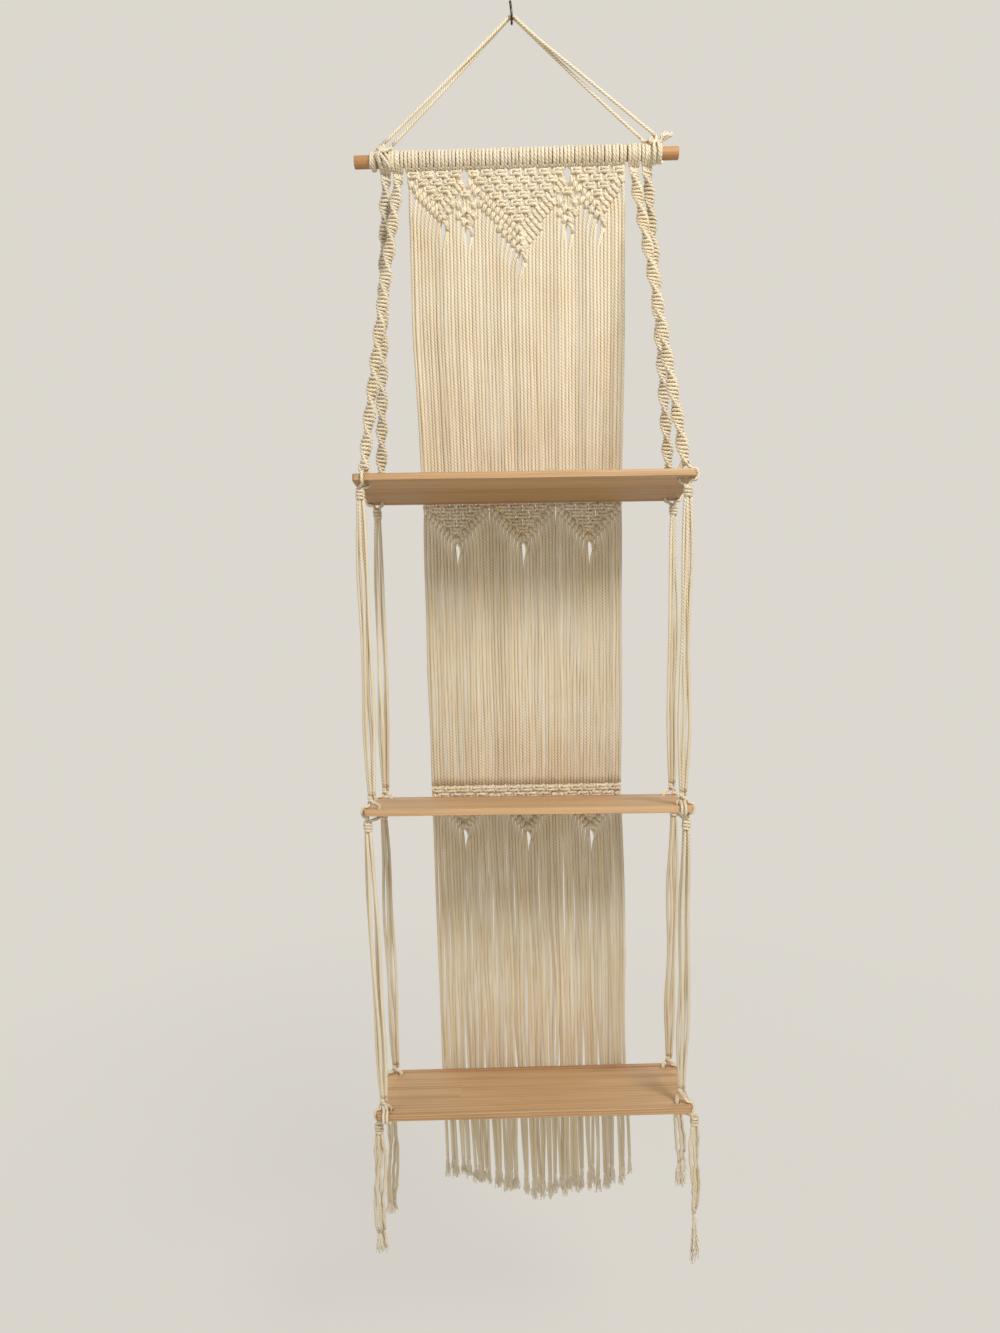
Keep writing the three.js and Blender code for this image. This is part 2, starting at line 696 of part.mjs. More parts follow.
const board = boardGeometry();
for (const place of SHELVES) setBoardPlace(addPiece(`board_${place.name}`, board, pine()), place);

for (const corner of CORNERS) {
  addPiece(`sinnet_${corner.name}`, sinnet(corner), cotton());
  for (const place of SHELVES) {
    addPiece(`sling_${place.name}_${corner.name}`, cornerSling(place, corner), cotton());
  }
  addPiece(`bundle_upper_${corner.name}`, bundle(SHELVES[0], SHELVES[1], corner), cotton());
  addPiece(`bundle_lower_${corner.name}`, bundle(SHELVES[1], SHELVES[2], corner), cotton());
  addPiece(`tail_${corner.name}`, tail(corner), cotton());
}

export default shelf;
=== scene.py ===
"""Macrame wall shelf: a knotted cotton panel and four spiral corner cords hang from an oiled dowel and
carry three pine boards. Two cords hold the dowel on a bent wire hook. Sizes are in millimetres."""
import math
import random

import bpy
import numpy as np
from mathutils import Euler, Matrix, Vector


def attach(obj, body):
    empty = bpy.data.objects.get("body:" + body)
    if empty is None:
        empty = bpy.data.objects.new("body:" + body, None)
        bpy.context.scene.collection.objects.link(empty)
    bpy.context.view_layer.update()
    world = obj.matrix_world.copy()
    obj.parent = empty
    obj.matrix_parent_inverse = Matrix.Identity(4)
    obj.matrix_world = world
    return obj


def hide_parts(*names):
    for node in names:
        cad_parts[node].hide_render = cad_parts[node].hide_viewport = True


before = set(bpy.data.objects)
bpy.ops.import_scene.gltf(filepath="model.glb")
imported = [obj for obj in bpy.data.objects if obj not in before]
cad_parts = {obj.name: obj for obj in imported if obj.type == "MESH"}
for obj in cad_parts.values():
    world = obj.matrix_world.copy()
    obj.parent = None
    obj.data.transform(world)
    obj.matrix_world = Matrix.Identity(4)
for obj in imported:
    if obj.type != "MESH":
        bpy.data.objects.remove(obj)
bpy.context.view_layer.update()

# --- Camera, floor and lamps ----------------------------------------------------------------------
# The camera stands 1.36 m from the wall and 0.62 m below the hook, and looks slightly down. The floor
# is plain and pale. A large soft lamp hangs high in front, and dimmer ones light the left, the lower
# front and the back.

MM = 0.001
CAMERA_AT = (-7.3, -1358, -619)
CAMERA_DOWN = 7.82
CAMERA_YAW = -1.07
CAMERA_ROLL = -1.30
CAMERA_LENS = 27.4
CAMERA_SENSOR = 36
FLOOR_Z = -1900
FLOOR_SIZE = 40
BACKDROP = "#dcd8cf"
LAMPS = [  # name, place, point that it faces, size, watts
    ("lamp_front_high", (900, -1500, 900), (0, 0, -700), 800, 48),
    ("lamp_left", (-1500, -1300, -300), (0, 0, -800), 1200, 8),
    ("lamp_front_low", (300, -1700, -1500), (0, 0, -1100), 1200, 5),
    ("lamp_back_left", (-1300, 1500, 200), (0, 0, -800), 1400, 10),
    ("lamp_back_right", (1300, 1500, -500), (0, 0, -800), 1400, 10),
]


def linear(hex_colour):
    """The linear colour of an sRGB hex value, with alpha 1."""
    channels = [int(hex_colour[i : i + 2], 16) / 255 for i in (1, 3, 5)]
    return [c / 12.92 if c <= 0.04045 else ((c + 0.055) / 1.055) ** 2.4 for c in channels] + [1.0]


def add_node(tree, kind, settings=None, links=None):
    """A new node with its settings, attributes by name and sockets by their name or number, and its
    incoming links, each from an output socket or a node's first output."""
    node = tree.nodes.new("ShaderNode" + kind)
    for key, value in (settings or {}).items():
        if isinstance(key, str) and hasattr(node, key):
            setattr(node, key, value)
        else:
            node.inputs[key].default_value = value
    for key, source in (links or {}).items():
        tree.links.new(getattr(source, "outputs", [source])[0], node.inputs[key])
    return node


def reckon(tree, operation, *terms):
    """A calculation in the material, whose terms are numbers, sockets or nodes."""
    numbers = {place: term for place, term in enumerate(terms) if isinstance(term, (int, float))}
    links = {place: term for place, term in enumerate(terms) if place not in numbers}
    return add_node(tree, "Math", {"operation": operation, **numbers}, links)


def noise(tree, place, scale, detail, rough):
    return add_node(tree, "TexNoise", {"Scale": scale, "Detail": detail, "Roughness": rough},
                    {"Vector": place})


def graded(tree, source, low, high, to_low=0, to_high=1):
    """The source's range from low to high, drawn out to another range."""
    return add_node(tree, "MapRange", {1: low, 2: high, 3: to_low, 4: to_high}, {0: source})


def blend(tree, share, first, second, how="MIX"):
    """A mixed colour, from two that are hex values or sockets."""
    ends = {6: first, 7: second}
    colours = {key: linear(end) for key, end in ends.items() if isinstance(end, str)}
    links = {key: end for key, end in ends.items() if key not in colours}
    mix = add_node(tree, "Mix", {"data_type": "RGBA", "blend_type": how, **colours}, {0: share, **links})
    return mix.outputs[2]


def attribute(tree, name, output):
    return add_node(tree, "Attribute", {"attribute_name": name}).outputs[output]


def finish(tree, settings, links):
    """Ends a material in one shader."""
    shader = add_node(tree, "BsdfPrincipled", settings, links)
    add_node(tree, "OutputMaterial", None, {0: shader})


def new_material(name):
    material = bpy.data.materials.new(name)
    material.use_nodes = True
    material.node_tree.nodes.clear()
    return material, material.node_tree


camera_data = bpy.data.cameras.new("camera")
camera_data.lens = CAMERA_LENS
camera_data.sensor_width = CAMERA_SENSOR
camera = bpy.data.objects.new("camera", camera_data)
bpy.context.scene.collection.objects.link(camera)
down, yaw, roll = (math.radians(a) for a in (CAMERA_DOWN, CAMERA_YAW, CAMERA_ROLL))
aimed = Matrix.Rotation(-yaw, 4, "Z") @ Matrix.Rotation(math.pi / 2 - down, 4, "X")
camera.matrix_world = Matrix.Translation(Vector(CAMERA_AT) * MM) @ aimed @ Matrix.Rotation(roll, 4, "Z")
bpy.context.scene.camera = camera

for name, place, target, size, watts in LAMPS:
    lamp_data = bpy.data.lights.new(name, "AREA")
    lamp_data.shape = "DISK"
    lamp_data.size = size * MM
    lamp_data.energy = watts
    lamp = bpy.data.objects.new(name, lamp_data)
    lamp.location = Vector(place) * MM
    lamp.rotation_euler = (Vector(target) - Vector(place)).to_track_quat("-Z", "Y").to_euler()
    bpy.context.scene.collection.objects.link(lamp)

world = bpy.data.worlds.new("studio")
bpy.context.scene.world = world
world.use_nodes = True
sky = world.node_tree
sky.nodes.clear()
rays = add_node(sky, "LightPath")
direct = reckon(sky, "MAXIMUM", rays.outputs["Is Camera Ray"], rays.outputs["Is Glossy Ray"])
seen = reckon(sky, "MAXIMUM", direct, rays.outputs["Is Transmission Ray"])
lit = add_node(sky, "Background", {"Color": linear("#ffffff"), "Strength": 0.34})
shown = add_node(sky, "Background", {"Color": linear(BACKDROP), "Strength": 1.0})
mixed = add_node(sky, "MixShader", None, {0: seen, 1: lit, 2: shown})
add_node(sky, "OutputWorld", None, {0: mixed})

bpy.ops.mesh.primitive_plane_add(size=FLOOR_SIZE, location=(0, 0, FLOOR_Z * MM))
floor = bpy.context.object
floor.name = "floor"
floor_paint, tree = new_material("matt_floor_paint")
floor_lit = add_node(tree, "BsdfPrincipled",
                     {"Base Color": linear("#d8d4cb"), "Roughness": 0.9, "Specular IOR Level": 0.2})
floor_glow = add_node(tree, "Emission", {"Color": linear(BACKDROP)})
rays = add_node(tree, "LightPath")
place = add_node(tree, "TexCoord")
away = add_node(tree, "VectorMath", {"operation": "LENGTH"}, {0: place.outputs["Object"]})
glow = graded(tree, away.outputs["Value"], 0.7, 1.9, 0.8, 1.0)
glow_share = reckon(tree, "MULTIPLY", rays.outputs["Is Camera Ray"], glow)
floor_mix = add_node(tree, "MixShader", None, {0: glow_share, 1: floor_lit, 2: floor_glow})
add_node(tree, "OutputMaterial", None, {0: floor_mix})
floor.data.materials.append(floor_paint)
bpy.context.scene.view_settings.view_transform = "Standard"

# --- Wall hook ------------------------------------------------------------------------------------
# One piece of 3 mm steel wire, bent up at its end, with its shank driven square into the wall. It is
# dark with age, rubbed in small spots and eased at its tip.

HOOK_WIRE = 3
HOOK_REACH = 17
HOOK_BEND = 3
HOOK_RISE = 19
HOOK_LEAN = -1.5
HOOK_TIP = 1


def fasten(piece, slot_name, *nodes):
    """Puts a finished piece on the body, in place of the solids it stands for. Its slot name is not used."""
    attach(piece, "root")
    if nodes:
        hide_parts(*nodes)
    return piece


bpy.ops.object.select_all(action="DESELECT")
bpy.ops.mesh.primitive_circle_add(vertices=24, radius=HOOK_WIRE / 2 * MM, fill_type="NGON",
                                  rotation=(math.pi / 2, 0, 0))
hook = bpy.context.object
hook.name = "bent_wire_hook"
bpy.ops.object.transform_apply(rotation=True)
bpy.ops.object.mode_set(mode="EDIT")
bpy.ops.mesh.select_all(action="SELECT")
shank = HOOK_REACH - HOOK_BEND
bpy.ops.mesh.extrude_region_move(TRANSFORM_OT_translate={"value": (0, -shank * MM, 0)})
bpy.ops.mesh.spin(steps=10, angle=math.pi / 2, center=(0, -shank * MM, HOOK_BEND * MM), axis=(1, 0, 0))
bpy.ops.mesh.extrude_region_move(
    TRANSFORM_OT_translate={"value": (HOOK_LEAN * MM, 0, (HOOK_RISE - HOOK_BEND - HOOK_TIP) * MM)})
bpy.ops.mesh.extrude_region_move(TRANSFORM_OT_translate={"value": (0, 0, HOOK_TIP * MM)})
bpy.ops.transform.resize(value=(0.5, 0.5, 1))
bpy.ops.mesh.select_all(action="SELECT")
bpy.ops.mesh.remove_doubles(threshold=1e-6)
bpy.ops.mesh.normals_make_consistent(inside=False)
bpy.ops.object.mode_set(mode="OBJECT")
bpy.ops.object.shade_smooth_by_angle(angle=math.radians(50))

hook_steel, tree = new_material("aged_steel_wire")  # dark oxide, with small brighter rubbed spots
spots = noise(tree, add_node(tree, "TexCoord").outputs["Object"], 420, 4, 0.65)
rubbed = graded(tree, spots, 0.45, 0.7)
steel_colour = blend(tree, rubbed, "#3a342d", "#6d6459")
steel_rough = graded(tree, rubbed, 0, 1, 0.55, 0.32)
pits = add_node(tree, "Bump", {"Strength": 0.4, "Distance": 0.0002}, {"Height": spots})
finish(tree, {"Metallic": 0.85}, {"Base Color": steel_colour, "Roughness": steel_rough, "Normal": pits})
hook.data.materials.append(hook_steel)
fasten(hook, "hook_steel", "wall_hook")

# --- Hanger cords ---------------------------------------------------------------------------------
# Two lengths of the same cotton cord as the panel, 4 mm thick and laid from three plies. They run
# taut over the hook, and each end is tied to the dowel by a lashing.

CORD = 4
LAY = 13  # length of one turn of the three plies
PLIES = 3
YARNS = 12  # fine yarns seen round the cord
RING = 8  # sides of a strand
LONGEST_STEP = 13
LARGEST_TURN = math.radians(24)
COTTON_CREST = "#efe3ca"
# Painted shade: the cord's darker colour in the furrows between its plies, used also as the dark end of the
# loose fibres' random mottle.
COTTON_SHADE_AND_DARK_TONE = "#bba684"
COTTON_AGED = "#f3e9d2"
HANGER_CORDS = [  # name, foot on the left, foot on the right, y on the hook, y at the feet
    ("hanger_cord_outer", -163, 176, -11, -21),
    ("hanger_cord_inner", -153, 158, -6.6, -14),
]
HANGER_FOOT = -143.6
HANGER_OVER = 0.2  # gap between the wire and the cord's underside at the crown
HANGER_SHOULDER = 9
HANGER_DROP = 6


def cotton_cord():
    """Matt carded cotton: pale and slightly warm, with shade painted darker into the furrows between the
    plies, fine yarns in its relief, uneven patches and small differences from one strand to the next."""
    material, tree = new_material("twisted_cotton_cord")
    lay = add_node(tree, "UVMap", {"uv_map": "lay"})
    across = add_node(tree, "SeparateXYZ", None, {0: lay})

    def ridges(around, along):
        """Rounded ridges that wind round the strand, 0 in the furrows and 1 on the crests."""
        turns = reckon(tree, "MULTIPLY", across.outputs["X"], around * math.pi)
        phase = reckon(tree, "MULTIPLY_ADD", across.outputs["Y"], along * math.pi, turns)
        wave = reckon(tree, "COSINE", phase)
        return reckon(tree, "ABSOLUTE", wave)

    plies = ridges(PLIES, PLIES)
    yarns = ridges(YARNS, -2 * PLIES)
    place = add_node(tree, "TexCoord").outputs["Object"]
    lint = noise(tree, place, 900, 3, 0.6)
    patches = noise(tree, place, 14, 4, 0.6)
    tone = attribute(tree, "tone", "Fac")
    # Painted shade: the colour goes darker from each ply's crest into the furrows between the plies.
    crest = reckon(tree, "POWER", plies, 0.55)
    furrow_shaded_colour = blend(tree, crest, COTTON_SHADE_AND_DARK_TONE, COTTON_CREST)
    aged_share = graded(tree, patches, 0.3, 0.75, 0.0, 0.7)
    aged = blend(tree, aged_share, furrow_shaded_colour, COTTON_AGED, "MULTIPLY")
    strand_value = graded(tree, tone, -1.0, 1.0, 0.9, 1.06)
    lint_value = graded(tree, lint, 0.25, 0.75, 0.93, 1.05)
    value = reckon(tree, "MULTIPLY", strand_value, lint_value)
    colour = add_node(tree, "HueSaturation", None, {"Color": aged, "Value": value})
    relief = reckon(tree, "MULTIPLY_ADD", yarns, 0.22, plies)
    height = reckon(tree, "MULTIPLY_ADD", lint, 0.35, relief)
    bump = add_node(tree, "Bump", {"Strength": 0.7, "Distance": 0.0005}, {"Height": height})
    cloth = {"Roughness": 0.92, "Specular IOR Level": 0.25, "Sheen Weight": 0.2, "Sheen Roughness": 0.5}
    finish(tree, cloth, {"Base Color": colour, "Normal": bump})
    return material


COTTON = cotton_cord()


def smooth(points, longest=LONGEST_STEP, turn=LARGEST_TURN):
    """A smooth line through the points, in steps that bend little and are not long."""
    p = np.array([q for i, q in enumerate(points) if i == 0 or math.dist(q, points[i - 1]) > 0.05], float)
    step = np.diff(p, axis=0)
    size = np.linalg.norm(step, axis=1)
    slope = step / size[:, None]
    tangent = np.vstack([slope[:1], slope, slope[-1:]])
    weight = np.concatenate([size[:1], size, size[-1:]])
    tangent = (tangent[:-1] * weight[1:, None] + tangent[1:] * weight[:-1, None]) / (
        weight[1:] + weight[:-1])[:, None]
    line = []
    for i in range(len(size)):
        a, b = tangent[i], tangent[i + 1]
        bend = math.acos(max(-1.0, min(1.0, a.dot(b) / (np.linalg.norm(a) * np.linalg.norm(b) + 1e-9))))
        cuts = max(1, math.ceil(bend / turn), math.ceil(size[i] / longest))
        t = (np.arange(cuts) / cuts)[:, None]
        line.append((2 * t**3 - 3 * t**2 + 1) * p[i] + (3 * t**2 - 2 * t**3) * p[i + 1]
                    + size[i] * ((t**3 - 2 * t**2 + t) * a + (t**3 - t**2) * b))
    return np.vstack(line + [p[-1:]])


def ring_frames(line):
    """Two directions square to the line at each point, carried along it without twist."""
    along = np.gradient(line, axis=0)
    along /= np.linalg.norm(along, axis=1)[:, None] + 1e-12
    side = np.array([0.0, -1.0, 0.0]) if abs(along[0][1]) < 0.9 else np.array([1.0, 0.0, 0.0])
    sides = []
    for t in along:
        side = side - t * side.dot(t)
        side = side / np.linalg.norm(side)
        sides.append(side)
    sides = np.array(sides)
    return sides, np.cross(along, sides)


def cording(name, strands, seed, *nodes, ring=RING, cotton=COTTON):
    """A finished piece of closed round strands, in place of the solids it stands for. A strand is a
    line in millimetres with its radius."""
    dice = random.Random(seed)
    angle = np.arange(ring) / ring * 2 * math.pi
    verts, quads, caps, lays, tones = [], [], [], [], []
    count = 0
    for line, radius in strands:
        line = np.asarray(line, float)
        n = len(line)
        side, other = ring_frames(line)
        out = np.cos(angle)[None, :, None] * side[:, None] + np.sin(angle)[None, :, None] * other[:, None]
        verts.append((line[:, None] + radius * out).reshape(-1, 3))
        i, k = np.meshgrid(np.arange(n - 1), np.arange(ring), indexing="ij")
        here, beside = count + i * ring + k, count + i * ring + (k + 1) % ring
        quads.append(np.stack([here, beside, beside + ring, here + ring], -1).reshape(-1, 4))
        run = np.concatenate([[0], np.cumsum(np.linalg.norm(np.diff(line, axis=0), axis=1))]) / LAY
        run = run + dice.random()
        corners = [(k, i), (k + 1, i), (k + 1, i + 1), (k, i + 1)]
        lays.append(np.stack([np.stack([a / ring, run[b]], -1) for a, b in corners], -2).reshape(-1, 2))
        caps.append(count + np.arange(ring)[::-1])
        caps.append(count + (n - 1) * ring + np.arange(ring))
        tones.append(np.full(n * ring, dice.uniform(-1, 1)))
        count += n * ring
    verts, quads, caps = np.vstack(verts) * MM, np.vstack(quads), np.array(caps)
    mesh = bpy.data.meshes.new(name)
    mesh.vertices.add(len(verts))
    mesh.vertices.foreach_set("co", verts.astype(np.float32).ravel())
    mesh.loops.add(quads.size + caps.size)
    mesh.loops.foreach_set("vertex_index", np.concatenate([quads.ravel(), caps.ravel()]).astype(np.int32))
    mesh.polygons.add(len(quads) + len(caps))
    starts = np.concatenate([np.arange(len(quads)) * 4, quads.size + np.arange(len(caps)) * ring])
    mesh.polygons.foreach_set("loop_start", starts.astype(np.int32))
    mesh.polygons.foreach_set("use_smooth", [True] * len(quads) + [False] * len(caps))
    layer = mesh.uv_layers.new(name="lay")
    uv = np.vstack([np.vstack(lays), np.zeros((caps.size, 2))])
    layer.data.foreach_set("uv", uv.astype(np.float32).ravel())
    mesh.attributes.new("tone", "FLOAT", "POINT").data.foreach_set("value", np.concatenate(tones))
    mesh.update(calc_edges=True)
    mesh.validate()
    piece = bpy.data.objects.new(name, mesh)
    bpy.context.scene.collection.objects.link(piece)
    mesh.materials.append(cotton)
    return fasten(piece, "cotton_cord", *nodes)


def declare_cord(line):
    """Takes a cord's line, in millimetres, and turns it into an array, and does nothing more with it."""
    line = np.asarray(line, float)


for name, left_x, right_x, hook_y, foot_y in HANGER_CORDS:
    crown = HOOK_WIRE / 2 + CORD / 2 + HANGER_OVER
    half_up = (HANGER_FOOT + crown) / 2
    half_out = (foot_y + hook_y) / 2
    route = smooth([
        (left_x, foot_y, HANGER_FOOT),
        (left_x / 2, half_out, half_up),
        (-HANGER_SHOULDER, hook_y, crown - HANGER_DROP),
        (-HANGER_SHOULDER / 2.2, hook_y, crown - HANGER_DROP / 4.5),
        (0, hook_y, crown),
        (HANGER_SHOULDER / 2.2, hook_y, crown - HANGER_DROP / 4.5),
        (HANGER_SHOULDER, hook_y, crown - HANGER_DROP),
        (right_x / 2, half_out, half_up),
        (right_x, foot_y, HANGER_FOOT),
    ])
    hanger = cording(name + "_laid", [(route, CORD / 2)], 1, name, ring=12)
    declare_cord(route)

# --- Dowel ----------------------------------------------------------------------------------------
# A turned beech stick, 16 mm thick and 405 mm long, oiled. Its edges are eased, and its ends are cut
# square across the grain.

DOWEL_ROUND = 16
DOWEL_LONG = 405
DOWEL_AT = (2, -14, -162)
DOWEL_EDGE = 0.8
JOINT_STRIP = (-0.076, 0.024)  # y of a board's middle strip, and half its width, in metres
JOINT_SHIFT = (0.4, 0.0213, 0)  # how far off the grain of its other piece is taken


def wood(name, pale, dark, end, ring, rough, joint=None):
    """Oiled softwood or beech: growth rings drawn out into long bands along X, fine fibres along
    them, darker late wood and a soft satin surface. The ring is the bands' spacing in metres. Boards
    carry their own place, and left of the joint the middle strip is another piece, glued on."""
    material, tree = new_material(name)
    if joint is None:
        source = add_node(tree, "TexCoord").outputs["Object"]
    else:
        own = attribute(tree, "board_place", "Vector")
        part = add_node(tree, "SeparateXYZ", None, {0: own})
        left = reckon(tree, "LESS_THAN", part.outputs["X"], joint)
        strip = reckon(tree, "COMPARE", part.outputs["Y"], *JOINT_STRIP)
        beyond = reckon(tree, "MULTIPLY", left, strip)
        other = add_node(tree, "VectorMath", {"operation": "SCALE", 0: JOINT_SHIFT}, {"Scale": beyond})
        source = add_node(tree, "VectorMath", {"operation": "ADD"}, {0: own, 1: other})

    def drawn_out(share, scale, detail, rough_noise):
        """Noise drawn out along X, which is squeezed to a share of its length."""
        run = add_node(tree, "Mapping", {"Scale": (share, 1, 1)}, {0: source})
        return noise(tree, run, scale, detail, rough_noise)

    warp = drawn_out(0.035, 22, 3, 0.5)
    axes = add_node(tree, "SeparateXYZ", None, {0: source})
    depth = reckon(tree, "MULTIPLY_ADD", axes.outputs["Z"], 1.7, axes.outputs["Y"])
    rings = reckon(tree, "MULTIPLY", depth, 1 / ring)
    bent = reckon(tree, "MULTIPLY_ADD", warp, 7.0, rings)
    saw = reckon(tree, "FRACT", bent)
    late = add_node(tree, "ValToRGB", None, {0: saw})
    late.color_ramp.elements[0].color = linear("#000000")
    late.color_ramp.elements[1].position = 0.86
    late.color_ramp.elements[1].color = linear("#ffffff")
    late.color_ramp.elements.new(1.0).color = linear("#101010")
    fibres = drawn_out(0.012, 900, 4, 0.7)
    streaks = drawn_out(0.03, 160, 3, 0.6)
    zones = drawn_out(0.02, 45, 2, 0.5)
    bold = graded(tree, zones, 0.42, 0.66, 0.12, 0.95)
    late_share = reckon(tree, "MULTIPLY", late, bold)
    base = blend(tree, late_share, pale, dark)
    streak_share = graded(tree, streaks, 0.5, 0.78, 0.0, 0.65)
    streaked = blend(tree, streak_share, base, dark)
    fibre_value = graded(tree, fibres, 0.3, 0.7, 0.9, 1.07)
    fine = add_node(tree, "HueSaturation", None, {"Color": streaked, "Value": fibre_value})
    facing = add_node(tree, "SeparateXYZ", None, {0: add_node(tree, "NewGeometry").outputs["Normal"]})
    sideways = reckon(tree, "ABSOLUTE", facing.outputs["X"])
    cut_end = graded(tree, sideways, 0.75, 0.95, 0.0, 0.7)
    colour = blend(tree, cut_end, fine, end)
    roughness = graded(tree, streaks, 0, 1, rough - 0.08, rough + 0.1)
    relief = reckon(tree, "MULTIPLY_ADD", late, 0.5, fibres)
    bump = add_node(tree, "Bump", {"Strength": 0.35, "Distance": 0.0002}, {"Height": relief})
    finish(tree, {"Specular IOR Level": 0.35},
           {"Base Color": colour, "Roughness": roughness, "Normal": bump})
    return material


bpy.ops.object.select_all(action="DESELECT")
bpy.ops.mesh.primitive_cylinder_add(vertices=64, radius=DOWEL_ROUND / 2 * MM, depth=DOWEL_LONG * MM,
                                    location=Vector(DOWEL_AT) * MM, rotation=(0, math.pi / 2, 0))
dowel = bpy.context.object
dowel.name = "beech_dowel"
bpy.ops.object.transform_apply(location=True, rotation=True)
ends = dowel.modifiers.new("eased_ends", "BEVEL")
ends.width = DOWEL_EDGE * MM
ends.segments = 3
ends.limit_method = "ANGLE"
bpy.ops.object.modifier_apply(modifier=ends.name)
bpy.ops.object.shade_smooth_by_angle(angle=math.radians(35))
dowel.data.materials.append(wood("oiled_beech", "#bd8d5c", "#93663a", "#9a6b40", 0.0021, 0.5))
fasten(dowel, "dowel_wood", "dowel")

# --- Cord heads on the dowel ----------------------------------------------------------------------
# Thirty cords are folded over the dowel. The fold lies behind it, and both legs come over the top,
# down the front and round underneath, and then hang side by side.

WRAP = DOWEL_ROUND / 2 + 0.3 + CORD / 2  # from the dowel's axis to the middle of a cord on it
HEADS = 30
HEADS_FROM = -138
HEADS_TO = 139.5
HEADS_END = -174
HEAD_STRAND = CORD / 2 * 1.08  # radius of a strand spread flat on the dowel
HEAD_LEG = 2.28  # half the distance between the two legs of a cord
PLACES = 60  # places across the panel, one for each strand
PANEL_EDGES = [  # height, x of the left edge, x of the right edge
    (-174, -137, 139),
    (-195, -134, 138),
    (-372, -135, 137),
    (-581, -129, 132),
    (-771, -130, 131.5),
    (-973, -129.5, 128.5),
    (-1221, -128, 134),
    (-1377, -127, 133.5),
    (-1521, -125, 136),
    (-1600, -124.5, 137),
]
PANEL_DEPTH = [(-174, -14), (-581, -9), (-1600, -8.5)]  # height, y of the panel's middle


def at_height(table, column, z):
    """The value of a column at a height, in a table whose rows go down."""
    return float(np.interp(-z, [-row[0] for row in table], [row[column] for row in table]))


def on_panel(place, z, out=0, across=0):
    """A point of the panel: places count from the left edge, and out is towards the front."""
    left, right = at_height(PANEL_EDGES, 1, z), at_height(PANEL_EDGES, 2, z)
    x = left + (right - left) * place / PLACES + across
    return (x, at_height(PANEL_DEPTH, 1, z) - out, z)


def round_dowel(x, degrees, radius=WRAP):
    """A point beside the dowel: 0 is in front of it, 90 on top of it and 180 behind it."""
    angle = math.radians(degrees)
    return (x, DOWEL_AT[1] - radius * math.cos(angle), DOWEL_AT[2] + radius * math.sin(angle))


def head_legs(middle, hang, dice):
    """The two strands of a folded cord, from the fold behind the dowel to the points they hang from."""
    legs = []
    for side in (-1, 1):
        lean = dice.uniform(-0.25, 0.25)
        x = middle + side * HEAD_LEG + lean
        swell = WRAP + dice.uniform(-0.1, 0.35)
        legs.append([
            round_dowel(middle - side * 0.3, 196, WRAP + 3.2),
            round_dowel(middle + side * HEAD_LEG * 0.8, 188, WRAP + 2.4),
            round_dowel(x, 160, WRAP + 0.2),
            *[round_dowel(x, degrees, swell) for degrees in (125, 90, 55, 20, -15)],
            round_dowel(x * 0.5 + 0.5 * (middle + side * HEAD_LEG * 0.85), -50, swell),
            round_dowel(middle + side * HEAD_LEG * 0.75, -78, WRAP + 1.2),
            hang[0 if side < 0 else 1],
        ])
    return legs


dice = random.Random(11)
strands = []
head_pitch = (HEADS_TO - HEADS_FROM) / HEADS
for number in range(HEADS):
    middle = HEADS_FROM + (number + 0.5) * head_pitch
    hang = [on_panel(2 * number + half, HEADS_END) for half in (0.5, 1.5)]
    for leg in head_legs(middle, hang, dice):
        strands.append((smooth(leg), HEAD_STRAND))
cording("cord_heads_on_dowel", strands, 21, "cord_head_row")

# --- Knotted bands --------------------------------------------------------------------------------
# Rows of square knots, each row half a knot beside the one above it and one knot shorter, so that
# they end in a point. Below them the outer strands run down to that point, and each strand they
# meet is hitched round them twice.

KNOT_ROW = 9  # from one row of knots to the next
BAND_STRAND = 2.1  # radius of a strand in a knot
# The strand that wraps a square knot's core from the left, and the one that wraps it from the right,
# as across, out to the front and up from the knot's middle.
WRAP_FROM_LEFT = [
    (-6.4, -1, 3.4), (-3, 3, 2.3), (0, 3.9, 2.0), (3, 3.3, 1.9), (6.2, 0.6, 2.1), (7.4, -0.2, 0),
    (6.2, 0.6, -2.1), (3, 3.3, -1.9), (0, 3.9, -2.0), (-3, 3, -2.3), (-6.4, -1, -3.4),
]
WRAP_FROM_RIGHT = [
    (6.3, 2.6, 3.4), (5.6, 2.2, 0.9), (4.6, -1.5, 0.3), (2, -3.6, 1), (-2, -3.6, 1.2),
    (-4.6, -1.5, 1.6), (-5.6, 2, 2.6), (-7, 2.8, 0), (-5.6, 2, -2.6), (-4.6, -1.5, -1.6),
    (-2, -3.6, -1.2), (2, -3.6, -1), (4.6, -1.5, -0.3), (5.6, 2.2, -0.9), (6.3, 2.6, -3.4),
]
CORE_LEFT = [(-2.1, 0, 2.5), (-2, 0, -2.5)]
CORE_RIGHT = [(2.1, 0, 2.5), (2, 0, -2.5)]
KNOT_ROLES = [WRAP_FROM_LEFT, CORE_LEFT, CORE_RIGHT, WRAP_FROM_RIGHT]
KNOT_SQUEEZE = 0.94
# Both turns of a hitch: distance from the carried strand, and where the turn lies along the arm, as a
# share of the room that a strand has there. They are pulled together into one bead.
HITCH_TURNS = [(3.4, -0.15), (3.8, 0.12)]
HITCH_SLANT = {1: 2.6, -1: 1.4}  # drift along the arm of a turn's front, by the arm's direction


def square_knot(ways, order, first, z, dice, size=1.0):
    """Ties the strands in four neighbouring places: the outer two wrap the inner two twice."""
    tilt = dice.uniform(-0.05, 0.05)
    lift = dice.uniform(-0.4, 0.4)
    for place, role in enumerate(KNOT_ROLES):
        way = ways[order[first + place]]
        way.append(on_panel(first + place + 0.5, z + KNOT_ROW / 2))
        for across, out, up in role:
            flat = across * KNOT_SQUEEZE * size
            way.append(on_panel(first + 2, z + up * size + flat * tilt + lift, out, flat))
        way.append(on_panel(first + place + 0.5, z - KNOT_ROW / 2))


